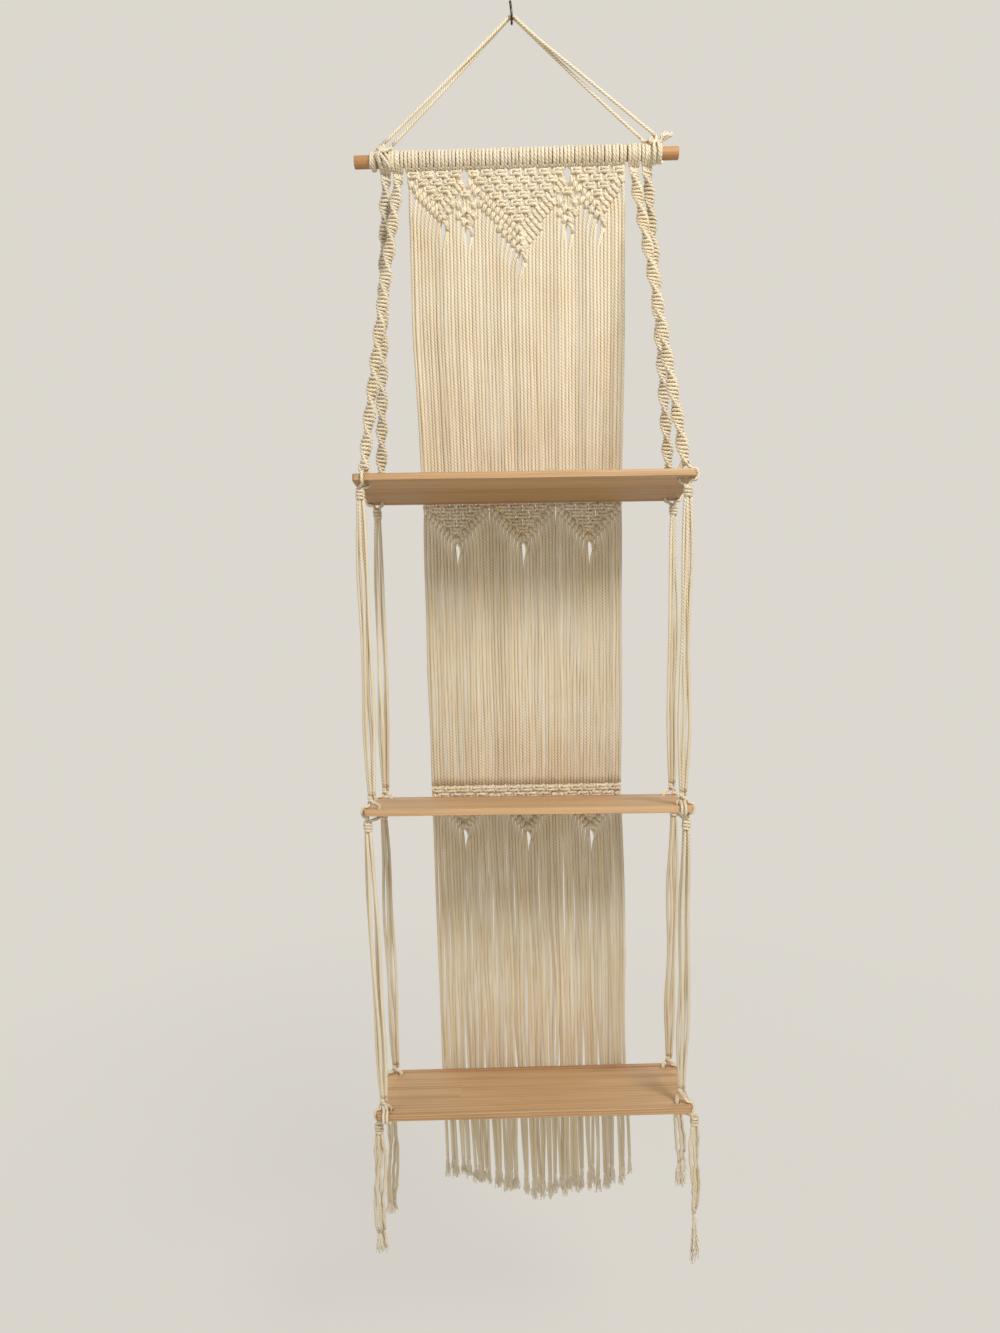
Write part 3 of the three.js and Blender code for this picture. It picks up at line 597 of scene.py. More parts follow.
def hitched_arm(ways, order, start, finish, top, foot, dice):
    """Carries the strand in one place down to another, and hitches each strand that it passes round
    it, with two turns in front."""
    step = 1 if finish > start else -1
    carried = order[start]
    passed = range(start + step, finish + step, step)
    a, b = np.array(on_panel(*top)), np.array(on_panel(*foot))
    share = (b - a) / len(passed)
    along = (b - a) / np.linalg.norm(b - a)
    front = np.array([0.0, -1.0, 0.0])
    up = np.cross(along, front)
    up = up if up[2] > 0 else -up
    ways[carried].append(tuple(a))
    for number, place in enumerate(passed):
        way = ways[order[place]]
        middle = a + share * (number + 0.5)
        for turn, (swell, shift) in enumerate(HITCH_TURNS):
            swell *= dice.uniform(0.95, 1.05)
            for degrees in (80, 45, 0, -45, -80) if turn else (90, 45, 0, -45, -100, -180, -250):
                angle = math.radians(degrees)
                drift = share * shift - along * HITCH_SLANT[step] * math.sin(angle) / 2
                round_it = math.sin(angle) * up + math.cos(angle) * front
                way.append(tuple(middle + drift + swell * round_it))
        ways[carried].append(tuple(middle))
    ways[carried].append(tuple(b))
    order.insert(finish, order.pop(start))


def cross_over(ways, order, left, point):
    """The strands carried from both sides cross at the foot of their arms. The left one lies in
    front, and slants on to the right before it hangs."""
    over, under = ways[order[left]], ways[order[left + 1]]
    over.append(on_panel(point[0] + 0.6, point[1] - 3, 3.6))
    over.append(on_panel(point[0] + 1.3, point[1] - 8, 3.4))
    over.append(on_panel(point[0] + 1.5, point[1] - 14, 1))
    under.append(on_panel(point[0] - 0.4, point[1] - 2, -2))
    under.append(on_panel(point[0] - 0.8, point[1] - 8, -1.5))
    order[left], order[left + 1] = order[left + 1], order[left]


def pointed_rows(ways, order, first, knots, z, dice):
    """Rows of square knots from this place, the first row with the most knots."""
    for row in range(knots):
        for knot in range(knots - row):
            square_knot(ways, order, first + 2 * row + 4 * knot, z - KNOT_ROW * row, dice)


def hitched_point(ways, order, left, right, tops, foot, dice):
    """Two arms, from places on the left and the right down to one point between them."""
    middle = math.floor(foot[0])
    hitched_arm(ways, order, left, middle - 1, tops[0], foot, dice)
    hitched_arm(ways, order, right, middle, tops[1], foot, dice)
    cross_over(ways, order, middle - 1, foot)


def parted(point, gaps):
    """A point moved sideways by the gaps near it, each at a place and height, pushing the strands
    beside it this far apart over this height up and down."""
    x, y, z = point
    for place, height, push, reach in gaps:
        away = x - on_panel(place, height)[0]
        near = max(0.0, 1 - ((z - height) / reach) ** 2)
        x += math.copysign(push, away) * near * math.exp(-abs(away) / 14)
    return (x, y, z)


def finished_band(name, ways, order, node, seed, gaps=()):
    """Joins the strands' ways into one piece, and gives the points where they leave it."""
    exits = [ways[strand][-1] for strand in order]
    ways = [[parted(point, gaps) for point in way] for way in ways]
    strands = [smooth(way) for way in ways]
    piece = cording(name, [(line, BAND_STRAND) for line in strands], seed, node)
    return exits


TOP_GAPS = [  # place, height, push, reach up and down
    (16, -183.5, 4.8, 10), (44, -183.5, 4.8, 10),
    (13, -205, 1.4, 8), (19.4, -207, 2.6, 10), (41, -208, 1.7, 9), (47.3, -208, 2.3, 9),
]


def top_band():
    """One large point between two small ones, with a hitched lozenge and a gap in each corner."""
    dice = random.Random(31)
    order = list(range(PLACES))
    ways = [[on_panel(place + 0.5, HEADS_END)] for place in range(PLACES)]
    first_row = HEADS_END - 6
    pointed_rows(ways, order, 0, 4, first_row, dice)
    pointed_rows(ways, order, 16, 7, first_row, dice)
    pointed_rows(ways, order, 44, 4, first_row, dice)
    hitched_point(ways, order, 0, 15, [(0.5, -189), (15.5, -190)], (8.3, -222), dice)
    hitched_point(ways, order, 44, 59, [(44.5, -190), (59.5, -189)], (52, -222), dice)
    hitched_point(ways, order, 16, 43, [(16.5, -191), (43.5, -190)], (30.5, -250), dice)
    for corner in (14, 42):
        square_knot(ways, order, corner, -204, dice, 0.9)
    for side in (13, 41):
        for z in (-213, -226):
            tops = [(side + 0.2, z), (side + 5.8, z)]
            hitched_point(ways, order, side, side + 5, tops, (side + 3, z - 15), dice)
    hitched_point(ways, order, 1, 12, [(2, -201), (12.8, -212)], (9.2, -234), dice)
    hitched_point(ways, order, 47, 58, [(47.2, -212), (58, -201)], (52.8, -235), dice)
    hitched_point(ways, order, 19, 40, [(19.3, -214), (40.7, -214)], (30.7, -262), dice)
    hitched_point(ways, order, 24, 36, [(24.5, -243), (36.8, -243)], (30.9, -274), dice)
    return finished_band("knotted_band_top", ways, order, "knot_band_top", 31, TOP_GAPS)


def small_band(name, node, first_row, feet, entries, seed):
    """Three like points side by side, each of five rows of knots above one pair of hitched arms."""
    dice = random.Random(seed)
    order = list(range(PLACES))
    ways = [[entry] for entry in entries]
    for group, foot in enumerate(feet):
        first = 20 * group
        pointed_rows(ways, order, first, 5, first_row, dice)
        tops = [(first + 0.5, first_row - 7.5), (first + 19.5, first_row - 7.5)]
        hitched_point(ways, order, first, first + 19, tops, (first + 10, foot), dice)
    return finished_band(name, ways, order, node, seed)


leave_top = top_band()
MIDDLE_ROW = -586
LOW_ROW = -972
enter_middle = [on_panel(place + 0.5, MIDDLE_ROW + KNOT_ROW / 2 + 0.5) for place in range(PLACES)]
leave_middle = small_band("knotted_band_middle", "knot_band_middle", MIDDLE_ROW, [-637, -637, -637],
                          enter_middle, 32)
enter_low = [on_panel(place + 0.5, LOW_ROW + KNOT_ROW / 2 + 0.5) for place in range(PLACES)]
leave_low = small_band("knotted_band_low", "knot_band_low", LOW_ROW, [-1025, -1029, -1029],
                       enter_low, 33)

# --- String curtains and fringe -------------------------------------------------------------------
# Below each band the sixty strands hang side by side, close but loose. Behind the upper and the
# middle board they are knotted again, and at the very bottom they are cut unevenly and have frayed.

CURTAIN_RADIUS = 2.2
FRINGE_ENDS = [(0, -1541), (30, -1581), (54, -1563), (60, -1550)]  # place, height of the free end
CLUMPS_FROM = -1300
FRAYED_YARNS = 20
YARN = 0.5
YARN_SIDES = 4
DOWN = np.array([0.0, 0.0, -1.0])
CRIMP_STEP = 3.6  # the yarns keep the crimp of the lay, and this is how finely it is followed


def drifts(seed, size, wave, count=4):
    """Slow sideways drift of hanging strands, as a function of place and height: waves whose phase
    changes little from one strand to the next, so that neighbours keep together."""
    dice = random.Random(seed)
    waves = [(dice.uniform(0.6, 1.7) * wave, dice.uniform(0, 6.28), dice.uniform(0.1, 0.9))
             for unused in range(count)]

    def drift(place, z):
        total = sum(math.sin(2 * math.pi * z / length + phase + place * step)
                    for length, phase, step in waves)
        return size * total / count

    return drift


def hanging_strands(exits, foot, levels, seed, loose, own, settle=12):
    """The way of each strand from where it leaves a band to its foot, a function of the place. It
    slants to its place within a short way and then hangs, with the drift it shares with its
    neighbours, in full at the foot, and a little of its own."""
    dice = random.Random(seed)
    side, out = drifts(seed, loose, 420), drifts(seed + 1, 1.2, 220)
    ways = []
    for place, start in enumerate(exits):
        own_phase, own_wave = dice.uniform(0, 6.28), dice.uniform(160, 420)
        layer = (0.75 if place % 2 else -0.75) + dice.uniform(-0.45, 0.45)
        end_z = foot(place)
        way = [start]
        heights = [start[2] - settle * 0.45, start[2] - settle]
        heights += [start[2] - settle + (end_z - start[2] + settle) * (k + 1) / levels
                    for k in range(levels)]
        for k, z in enumerate(heights):
            t = min(1.0, (start[2] - z) / settle / 2)
            grown = min(1.0, (start[2] - z) / 150)
            across = grown * (side(place, z) + own * math.sin(2 * math.pi * z / own_wave + own_phase))
            x, y, z = on_panel(place + 0.5, z, grown * (layer + out(place, z)), across)
            ways_x = start[0] + (x - start[0]) * (1 - (1 - t) ** 2)
            way.append((ways_x, start[1] + (y - start[1]) * t, z))
        ways.append(way)
    return ways


def meet_next_band(ways, entries):
    """Brings the strands together again at the next band's first row of knots."""
    for way, entry in zip(ways, entries):
        keep = [point for point in way if point[2] > entry[2] + 14]
        way[:] = keep + [entry]


def curtain(name, node, exits, entries, seed, loose, own):
    foot = entries[0][2]
    ways = hanging_strands(exits, lambda place: foot, 9, seed, loose, own)
    meet_next_band(ways, entries)
    strands = [smooth(way) for way in ways]
    piece = cording(name, [(line, CURTAIN_RADIUS) for line in strands], seed, node)


curtain("string_curtain_top", "curtain_top", leave_top, enter_middle, 41, 0.5, 0.35)
curtain("string_curtain_middle", "curtain_middle", leave_middle, enter_low, 42, 1.2, 0.6)


def frayed_end(line, length, spread, dice, yarns=FRAYED_YARNS, fall=DOWN):
    """The yarns that the end of a strand comes apart into, each a thin strand."""
    line = np.asarray(line, float)
    heading = line[-1] - line[-2]
    heading = heading / np.linalg.norm(heading)
    tip = line[-1]
    made = []
    for yarn in range(yarns):
        turn = 2 * math.pi * (yarn + dice.random() * 0.6) / yarns
        ring = 1.4 if yarn % 3 else 0.5
        open_to = spread * dice.uniform(0.3, 1.0)
        reach = length * dice.uniform(0.72, 1.08)
        bend = dice.uniform(-0.35, 0.35)
        phase, crimp = dice.uniform(0, 6.28), dice.uniform(0.4, 0.9)
        steps = max(3, round(reach / CRIMP_STEP))
        way = []
        for step in range(steps + 1):
            t = step / steps
            radius = ring + (open_to - ring) * t**1.5
            angle = turn + bend * t * 2
            wave = phase + 2 * math.pi * reach * t / LAY
            side = np.array([math.cos(angle), math.sin(angle) * 0.8, 0.0]) * radius
            side += np.array([math.cos(wave), math.sin(wave), 0.0]) * crimp * min(1.0, 3 * t)
            bent = min(reach * t, 5)
            way.append(tuple(tip + heading * (bent - 2) + fall * (reach * t - bent) + side))
        made.append((smooth(way, longest=20, turn=1), YARN))
    return made


def loose_fibre():
    """Carded cotton that has come untwisted: paler and softer than the laid cord, without plies."""
    material, tree = new_material("untwisted_cotton_fibre")
    lint = noise(tree, add_node(tree, "TexCoord").outputs["Object"], 700, 3, 0.6)
    share = graded(tree, attribute(tree, "tone", "Fac"), -1.0, 1.0, 0.45, 1.0)
    mottled = add_node(tree, "Math", {"operation": "MULTIPLY_ADD", 1: 0.5, "use_clamp": True},
                       {0: lint, 2: share})
    colour = blend(tree, mottled, COTTON_SHADE_AND_DARK_TONE, COTTON_CREST)
    finish(tree, {"Roughness": 0.95, "Specular IOR Level": 0.2, "Sheen Weight": 0.3},
           {"Base Color": colour})
    return material


FIBRE = loose_fibre()


def fringe_strand_end(place):
    ends = [row[0] for row in FRINGE_ENDS]
    return float(np.interp(place, ends, [row[1] for row in FRINGE_ENDS]))


def fringe():
    """The last curtain: longer, looser, its ends cut by hand and frayed. Low down the strands draw
    together in twos and threes, and some cross their neighbours."""
    dice = random.Random(43)
    lengths = [dice.uniform(-6, 8) for unused in range(PLACES)]
    frays = [dice.uniform(23, 36) for unused in range(PLACES)]
    ways = hanging_strands(leave_low, lambda place: fringe_strand_end(place) + lengths[place] + frays[place],
                           14, 43, 1.6, 0.8)
    place = 0
    while place < PLACES:
        group = range(place, min(PLACES, place + dice.choice((1, 2, 2, 3))))
        middle = sum(group) / len(group)
        drift = dice.uniform(-2.6, 2.6)
        for strand in group:
            gather, slant = dice.uniform(0.5, 2.1) * (middle - strand), dice.uniform(-2.8, 2.8)
            ways[strand] = [(x + low * (gather + drift) + low**2 * slant, y - low * dice.uniform(0, 1.2), z)
                            for x, y, z in ways[strand]
                            for low in [min(1.0, max(0.0, (CLUMPS_FROM - z) / 240))]]
        place = group[-1] + 1
    strands = [(smooth(way), CURTAIN_RADIUS) for way in ways]
    laid = cording("fringe_strands", strands, 43, "curtain_fringe")
    yarns = []
    for (line, unused), length in zip(strands, frays):
        yarns += frayed_end(line, length, dice.uniform(3.6, 5.8), dice)
    cording("fringe_frayed_ends", yarns, 44, ring=YARN_SIDES, cotton=FIBRE)


fringe()

# --- Boards ---------------------------------------------------------------------------------------
# Three pine boards, 400 by 150 by 8 mm, with rounded corners, eased edges and a hole for the cord
# near each corner. A painted shadow darkens the wood along the back. Each board hangs with its front
# edge 22 to 26 mm higher than its back edge.

BOARD_WIDE = 400
BOARD_DEEP = 150
BOARD_THICK = 8
BOARD_CORNER = 5
BOARD_EDGE = 0.9
HOLE_ROUND = 8
HOLE_FROM_END = 17
HOLE_FROM_EDGE = 16
BACK_EDGE = -16.5
SHELVES = [  # name, x of the middle, height of the back edge, rise of the front, slope, turn, grain shift
    ("upper", 3, -581, 26, -0.44, 0, 0.31),
    ("middle", 0, -981, 24.5, -0.31, 0, 0.74),
    ("lower", -0.5, -1373.5, 22.5, 0.58, 0.46, 0.0),
]

PINE_PALE = "#c8a276"
PINE_DARK = "#997246"
PINE_END = "#9a6d45"
PINE_RING = 0.0065
PINE_JOINT = -0.095
# Painted shadow along each board's back, where the panel and the board above shade it: its width and tint,
# and the colour and half width of a fine dark line along its front edge.
BACK_SHADOW_WIDE = 14
BACK_SHADOW_TINT = "#dba67c"
SHADOW_EDGE_LINE_COLOUR = "#5a3d24"
SHADOW_EDGE_LINE_HALF = 0.6
GRAIN_UP = 0.05  # share of a board's grain shift that goes up as well


def board_place(shelf):
    """Where a board lies: its own axes run along the width, back to front and up, from the middle of
    its upper back edge."""
    x, back_top, rise, slope, turn = shelf[1:6]
    tilt = Euler((-math.asin(rise / BOARD_DEEP), -math.radians(slope), math.radians(turn)), "XYZ")
    return Matrix.Translation((x, BACK_EDGE, back_top)) @ tilt.to_matrix().to_4x4()


def modifier(piece, kind, **settings):
    """Adds a modifier and applies it."""
    bpy.context.view_layer.objects.active = piece
    added = piece.modifiers.new(kind.lower(), kind)
    for key, value in settings.items():
        setattr(added, key, value)
    bpy.ops.object.modifier_apply(modifier=added.name)


def blank_board():
    """A board in its own axes, in metres."""
    bpy.ops.object.select_all(action="DESELECT")
    bpy.ops.mesh.primitive_cube_add(size=1, location=(0, -BOARD_DEEP / 2 * MM, -BOARD_THICK / 2 * MM))
    blank = bpy.context.object
    blank.scale = (BOARD_WIDE * MM, BOARD_DEEP * MM, BOARD_THICK * MM)
    bpy.ops.object.transform_apply(location=True, scale=True)
    bpy.ops.object.mode_set(mode="EDIT")
    bpy.ops.mesh.select_mode(type="EDGE")
    bpy.ops.mesh.select_all(action="DESELECT")
    bpy.ops.object.mode_set(mode="OBJECT")
    for edge in blank.data.edges:
        a, b = (blank.data.vertices[v].co for v in edge.vertices)
        edge.select = abs(a.z - b.z) > BOARD_THICK / 2 * MM
    bpy.ops.object.mode_set(mode="EDIT")
    bpy.ops.mesh.bevel(offset=BOARD_CORNER * MM, segments=8, affect="EDGES")
    bpy.ops.object.mode_set(mode="OBJECT")
    for side in (-1, 1):
        for y in (-HOLE_FROM_EDGE, HOLE_FROM_EDGE - BOARD_DEEP):
            x = side * (BOARD_WIDE / 2 - HOLE_FROM_END)
            bpy.ops.object.select_all(action="DESELECT")
            bpy.ops.mesh.primitive_cylinder_add(vertices=32, radius=HOLE_ROUND / 2 * MM,
                                                depth=4 * BOARD_THICK * MM, location=(x * MM, y * MM, 0))
            drill = bpy.context.object
            modifier(blank, "BOOLEAN", object=drill, operation="DIFFERENCE", solver="EXACT")
            bpy.data.objects.remove(drill)
    modifier(blank, "BEVEL", width=BOARD_EDGE * MM, segments=3, limit_method="ANGLE",
             angle_limit=math.radians(50))
    return blank


def pine():
    """Knot-free pine under a thin brown oil: the wood of every board, with a painted shadow along the back,
    darker and warmer, where the panel and the board above shade it, and a fine dark line along its front."""
    material = wood("oiled_pine", PINE_PALE, PINE_DARK, PINE_END, PINE_RING, 0.48, PINE_JOINT)
    tree = material.node_tree
    shader = next(node for node in tree.nodes if node.type == "BSDF_PRINCIPLED")
    colour = shader.inputs["Base Color"].links[0].from_socket
    axes = add_node(tree, "SeparateXYZ", None, {0: attribute(tree, "board_place", "Vector")})
    # Painted shadow: the back of the board is darkened and reddened, with a fine dark line along the
    # shadow's front edge.
    strip = graded(tree, axes.outputs["Y"], -BACK_SHADOW_WIDE * MM, -(BACK_SHADOW_WIDE - 0.3) * MM, 0.0, 0.35)
    back_shadowed = blend(tree, strip, colour, BACK_SHADOW_TINT, "MULTIPLY")
    off_shadow_edge = reckon(tree, "ADD", axes.outputs["Y"], BACK_SHADOW_WIDE * MM)
    far = reckon(tree, "ABSOLUTE", off_shadow_edge)
    shadow_edge_line = graded(tree, far, 0.0, SHADOW_EDGE_LINE_HALF * MM, 0.6, 0.0)
    tree.links.new(blend(tree, shadow_edge_line, back_shadowed, SHADOW_EDGE_LINE_COLOUR), shader.inputs["Base Color"])
    return material


blank = blank_board()
oiled_pine = pine()
for shelf in SHELVES:
    board = blank.copy()
    board.data = blank.data.copy()
    board.name = "pine_board_" + shelf[0]
    bpy.context.scene.collection.objects.link(board)
    own = np.empty(len(board.data.vertices) * 3, np.float32)
    board.data.vertices.foreach_get("co", own)
    own = own.reshape(-1, 3)
    own_place = own + np.array([shelf[6], 0, shelf[6] * GRAIN_UP], np.float32)
    board.data.attributes.new("board_place", "FLOAT_VECTOR", "POINT").data.foreach_set(
        "vector", own_place.ravel())
    rest = board_place(shelf)
    board.data.transform(Matrix.Translation(rest.translation * MM) @ rest.to_3x3().to_4x4())
    board.data.materials.append(oiled_pine)
    bpy.ops.object.select_all(action="DESELECT")
    board.select_set(True)
    bpy.context.view_layer.objects.active = board
    bpy.ops.object.shade_smooth_by_angle(angle=math.radians(40))
    fasten(board, "pine_board", "board_" + shelf[0])
bpy.data.objects.remove(blank)

# --- Corner sinnets -------------------------------------------------------------------------------
# At each corner two folded cords hang from the dowel. Their four strands are tied in half knots, all
# the same way round, so that the cord turns like a screw down to the upper board.

CORNERS = [  # name, side, row, first and last x of the heads on the dowel
    ("front_left", -1, "front", -153.5, -139),
    ("back_left", -1, "back", -170, -154),
    ("front_right", 1, "front", 141, 157),
    ("back_right", 1, "back", 157.5, 173.5),
]
CORNER_IN = 13
# By corner, for each board: height over it at which the strands come together, drop to the knot below
# it, and how far from the board's middle each of the two is.
PASSES = {
    "front_left": [(16, 14, 188, 192), (15, 14, 191, 196), (16, 14, 191, 198)],
    "back_left": [(15, 14, 184, 189), (14, 14, 190, 193), (12, 14, 190, 196)],
    "front_right": [(16, 16, 189, 191), (15, 16, 190, 193), (19, 14, 189, 204)],
    "back_right": [(15, 14, 189, 193), (15, 14, 195, 197), (14, 14, 192, 203)],
}
HALF_KNOT = 5  # height of one half knot in the spiral
HALF_TURN = 35  # height in which the spiral turns half round
SPIRAL_TOP = -182  # where the first half knot is tied
# The strand that crosses in front of the core in a half knot, and the one that crosses behind it, as
# across, out to the front and share of the half knot's height.
CROSS_FRONT = [(-5.3, 1.1, 0.1), (-3, 2.6, 0.02), (0, 2.9, 0), (3, 2.6, -0.02), (5.3, 1.1, -0.1),
               (6.2, 0, -0.5)]
CROSS_BACK = [(5.3, -1.1, 0.1), (2.8, -2.7, 0.02), (-2.8, -2.7, -0.02), (-5.3, -1.1, -0.1), (-6.2, 0, -0.5)]
SINNET_STRAND = 1.8  # radius of a strand pulled tight in the spiral
SINNET_LOWER = 6.5  # the spiral ends this much lower than the height in PASSES


def row_y(row, inside):
    return inside - BOARD_DEEP if row == "front" else -inside


def board_point(number, x, y, z):
    """A point given in a board's own axes."""
    return np.array(board_place(SHELVES[number]) @ Vector((x, y, z)))


def corner_knots(corner, number):
    """Where a corner's strands come together above a board, and the middle of their knot below it."""
    name, side, row = corner[:3]
    over, under, over_x, under_x = PASSES[name][number]
    y = row_y(row, CORNER_IN)
    return (board_point(number, side * over_x, y, over),
            board_point(number, side * under_x, y, -BOARD_THICK - under))


def turned(angle):
    """The directions across and out to the front, turned about the upright."""
    return (np.array([math.cos(angle), math.sin(angle), 0.0]),
            np.array([math.sin(angle), -math.cos(angle), 0.0]))


def sinnet(corner, seed):
    name, side, unused, head_from, head_to = corner
    dice = random.Random(seed)
    foot = corner_knots(corner, 0)[0] - np.array([0, 0, SINNET_LOWER])
    head = np.array([(head_from + head_to) / 2, DOWEL_AT[1], SPIRAL_TOP])
    count = round((head[2] - foot[2]) / HALF_KNOT)
    hang = [tuple(head + np.array([across, 0, 5])) for across in (-4.5, -2, 2, 4.5)]
    folds = [head_from + (head_to - head_from) * share for share in (0.27, 0.73)]
    legs = [leg for number, middle in enumerate(folds)
            for leg in head_legs(middle, hang[2 * number : 2 * number + 2], dice)]
    folded = [(smooth(leg), HEAD_STRAND) for leg in legs]
    cording("sinnet_heads_" + name, folded, seed + 4)
    left, core_a, core_b, right = ([leg[-1]] for leg in legs)
    turn = dice.uniform(0, 0.5)
    centreline = [tuple(head + np.array([0, 0, 5]))]
    for knot in range(count):
        share = (knot + 0.5) / count
        middle = head + (foot - head) * share
        bow = math.sin(math.pi * share) * 2.5
        middle = middle + np.array([side * bow * 0.3, -bow, 0])
        turn += math.pi * HALF_KNOT / HALF_TURN * dice.uniform(0.85, 1.15)
        swell = dice.uniform(0.95, 1.07) * (1.12 if knot < 2 else 1.0)
        across, out = turned(turn)
        for way, role in ((left, CROSS_FRONT), (right, CROSS_BACK)):
            for a, o, u in role:
                way.append(tuple(middle + swell * (a * across + o * out)
                                 + np.array([0, 0, u * HALF_KNOT])))
        for way, a in ((core_a, -1.7), (core_b, 1.7)):
            way.append(tuple(middle + a * across))
        left, right = right, left
        centreline.append(tuple(middle))
    for way, a in ((left, -3), (right, 3), (core_a, -1.5), (core_b, 1.5)):
        way.append(tuple(foot + np.array([a * math.cos(turn), a * math.sin(turn), -2])))
    centreline.append(tuple(foot))
    strands = [(smooth(way, turn=0.6), SINNET_STRAND) for way in (left, core_a, core_b, right)]
    piece = cording("spiral_sinnet_" + name, strands, seed, "sinnet_" + name)
    declare_cord(smooth(centreline))


for number, corner in enumerate(CORNERS):
    sinnet(corner, 51 + number)

# --- Slings at the boards -------------------------------------------------------------------------
# At every corner of a board the four strands come together, and cross above the two lower boards.
# They pass the board through the hole, round its end and over its long edge, and are knotted below it.

LEG_CLEAR = CORD / 2 + 0.6  # from a board's surface to the middle of a strand that passes it
EDGE_LEG_IN = 12
WAYS = {  # by corner, for each board: the strands' ways, hole, long edge or end, from the inside out
    "front_left": ["hhhl", "hhee", "hlle"],
    "back_left": ["hhee", "hhee", "hhee"],
    "front_right": ["hhee", "hlle", "hhee"],
    "back_right": ["hhee", "hhee", "hhee"],
}
KNOT_FOOT = 4.6  # from the middle of a knot down to where the next piece begins
CROSS_DROP = 5  # the strands cross this much lower than the height in PASSES
BUNDLE_SPOTS = [(-4.6, 0.6), (-1.6, 2.2), (1.6, -2.2), (4.6, -0.4)]  # four loose strands, across and out
# A knot of three half knots with the outer strands pulled tight, as across, out and up.
TIGHT_LEFT = [(-2.6, 0, 6.5), (-3.4, 0.9, 5.2), (-2, 3, 4.2), (0, 3.4, 4), (2, 3, 3.8), (3.8, 0.8, 2.9),
              (3.8, -0.8, 1.2), (2, -2.9, 0.3), (-2, -2.9, -0.3), (-3.8, -0.8, -1.2), (-3.8, 0.8, -2.9),
              (-2, 3, -3.8), (0, 3.4, -4), (2, 3, -4.2), (3.2, 0.8, -5.3), (2.6, 0, -6.5)]
TIGHT_RIGHT = [(2.6, 0, 6.5), (3.4, -0.8, 5.3), (2, -2.9, 4.2), (-2, -2.9, 3.8), (-3.8, -0.8, 2.8),
               (-3.8, 0.8, 1.1), (-2, 3, 0.2), (0, 3.4, 0), (2, 3, -0.2), (3.8, 0.8, -1.1),
               (3.8, -0.8, -2.8), (2, -2.9, -3.8), (-2, -2.9, -4.2), (-3.2, -0.8, -5.3), (-2.6, 0, -6.5)]
TIGHT_CORE = [[(-1.2, 0, 6.5), (-1.5, 0, 0), (-1.2, 0, -6.5)], [(1.2, 0, 6.5), (1.5, 0, 0), (1.2, 0, -6.5)]]
TIGHT_STRAND = 1.85


def knot_ways(middle, turn, lean=0.0):
    """The ways of four strands through a tight square knot, turned about the upright."""
    across, out = turned(turn)
    up = np.array([lean, 0.0, 1.0])
    return [[middle + a * across + o * out + u * up for a, o, u in role]
            for role in (TIGHT_LEFT, *TIGHT_CORE, TIGHT_RIGHT)]


def passing_points(corner, number, way, lane):
    """A strand's points as it passes a board, beside the other strands that go the same way."""
    side, row = corner[1:3]
    half = BOARD_WIDE / 2
    above, below = LEG_CLEAR, -BOARD_THICK - LEG_CLEAR
    front = -1 if row == "front" else 1
    round_edge = [(-4, above), (0.6, above - 0.6), (LEG_CLEAR, -1), (LEG_CLEAR, 1 - BOARD_THICK),
                  (0.6, below + 0.6), (-4, below)]  # beyond the edge, and height
    if way == "e":
        y = row_y(row, CORNER_IN) + lane * 4.3
        spots = [(half + beyond, y, z) for beyond, z in round_edge]
    elif way == "l":
        x = half - EDGE_LEG_IN + lane * 4.4
        long_edge = row_y(row, 0) if row == "front" else 0
        spots = [(x, long_edge + front * beyond, z) for beyond, z in round_edge]
    else:
        x, y = half - HOLE_FROM_END + lane * 1.7, row_y(row, HOLE_FROM_EDGE) + lane * 0.6
        spots = [(x, y, above + 1), (x, y, -BOARD_THICK / 2), (x, y, below - 1)]
    return [board_point(number, side * x, y, z) for x, y, z in spots]


def crossing_ways(middle):
    """The ways of four loose strands that come down together and cross, the left pair in front."""
    ways = []
    for number, (across, out) in enumerate(BUNDLE_SPOTS):
        nearer = 2.4 if number < 2 else -2.2
        spots = [(across * 0.6, -out * 0.6, 6), (across * 0.75, -out * 0.6 - nearer * 0.5, 3.4),
                 (across * 0.05, -nearer + across * 0.12, 0), (-across * 0.9, -nearer * 0.8, -3)]
        ways.append([middle + np.array(spot) for spot in spots])
    return ways


def sling(corner, number, seed):
    name, side = corner[:2]
    dice = random.Random(seed)
    over, under = corner_knots(corner, number)
    lower = knot_ways(under, dice.uniform(-0.35, 0.35), dice.uniform(-0.1, 0.1))
    places = [0, 1, 2, 3] if side > 0 else [3, 2, 1, 0]
    if number == 0:
        middle = over - np.array([0, 0, SINNET_LOWER])
        upper = [[middle + np.array([a * 0.6, 0, 4]), middle + np.array([a, -o * 0.5, 0])]
                 for a, o in BUNDLE_SPOTS]
        comes_from = places
    else:
        upper = crossing_ways(over - np.array([0, 0, CROSS_DROP]))
        comes_from = places[::-1]
    taken = WAYS[name][number]
    lanes = {way: 0 for way in taken}
    strands = []
    for way, above, below in zip(taken, comes_from, places):
        width = taken.count(way)
        lane = lanes[way] - (width - 1) / 2
        lanes[way] += 1
        points = upper[above] + passing_points(corner, number, way, lane) + lower[below]
        strands.append((smooth([tuple(p) for p in points], turn=0.5), TIGHT_STRAND))
    where = "sling_%s_%s" % (SHELVES[number][0], name)
    cording("board_" + where, strands, seed, where)


for c, corner in enumerate(CORNERS):
    for b in range(len(SHELVES)):
        sling(corner, b, 61 + 4 * b + c)

# --- Bundles between the boards -------------------------------------------------------------------
# Between one board and the next, each corner's four strands hang side by side, not knotted, and bow
# a little apart.

BUNDLE_END = 5.8  # from where the strands cross up to where a bundle ends
BUNDLE_STEPS = 26


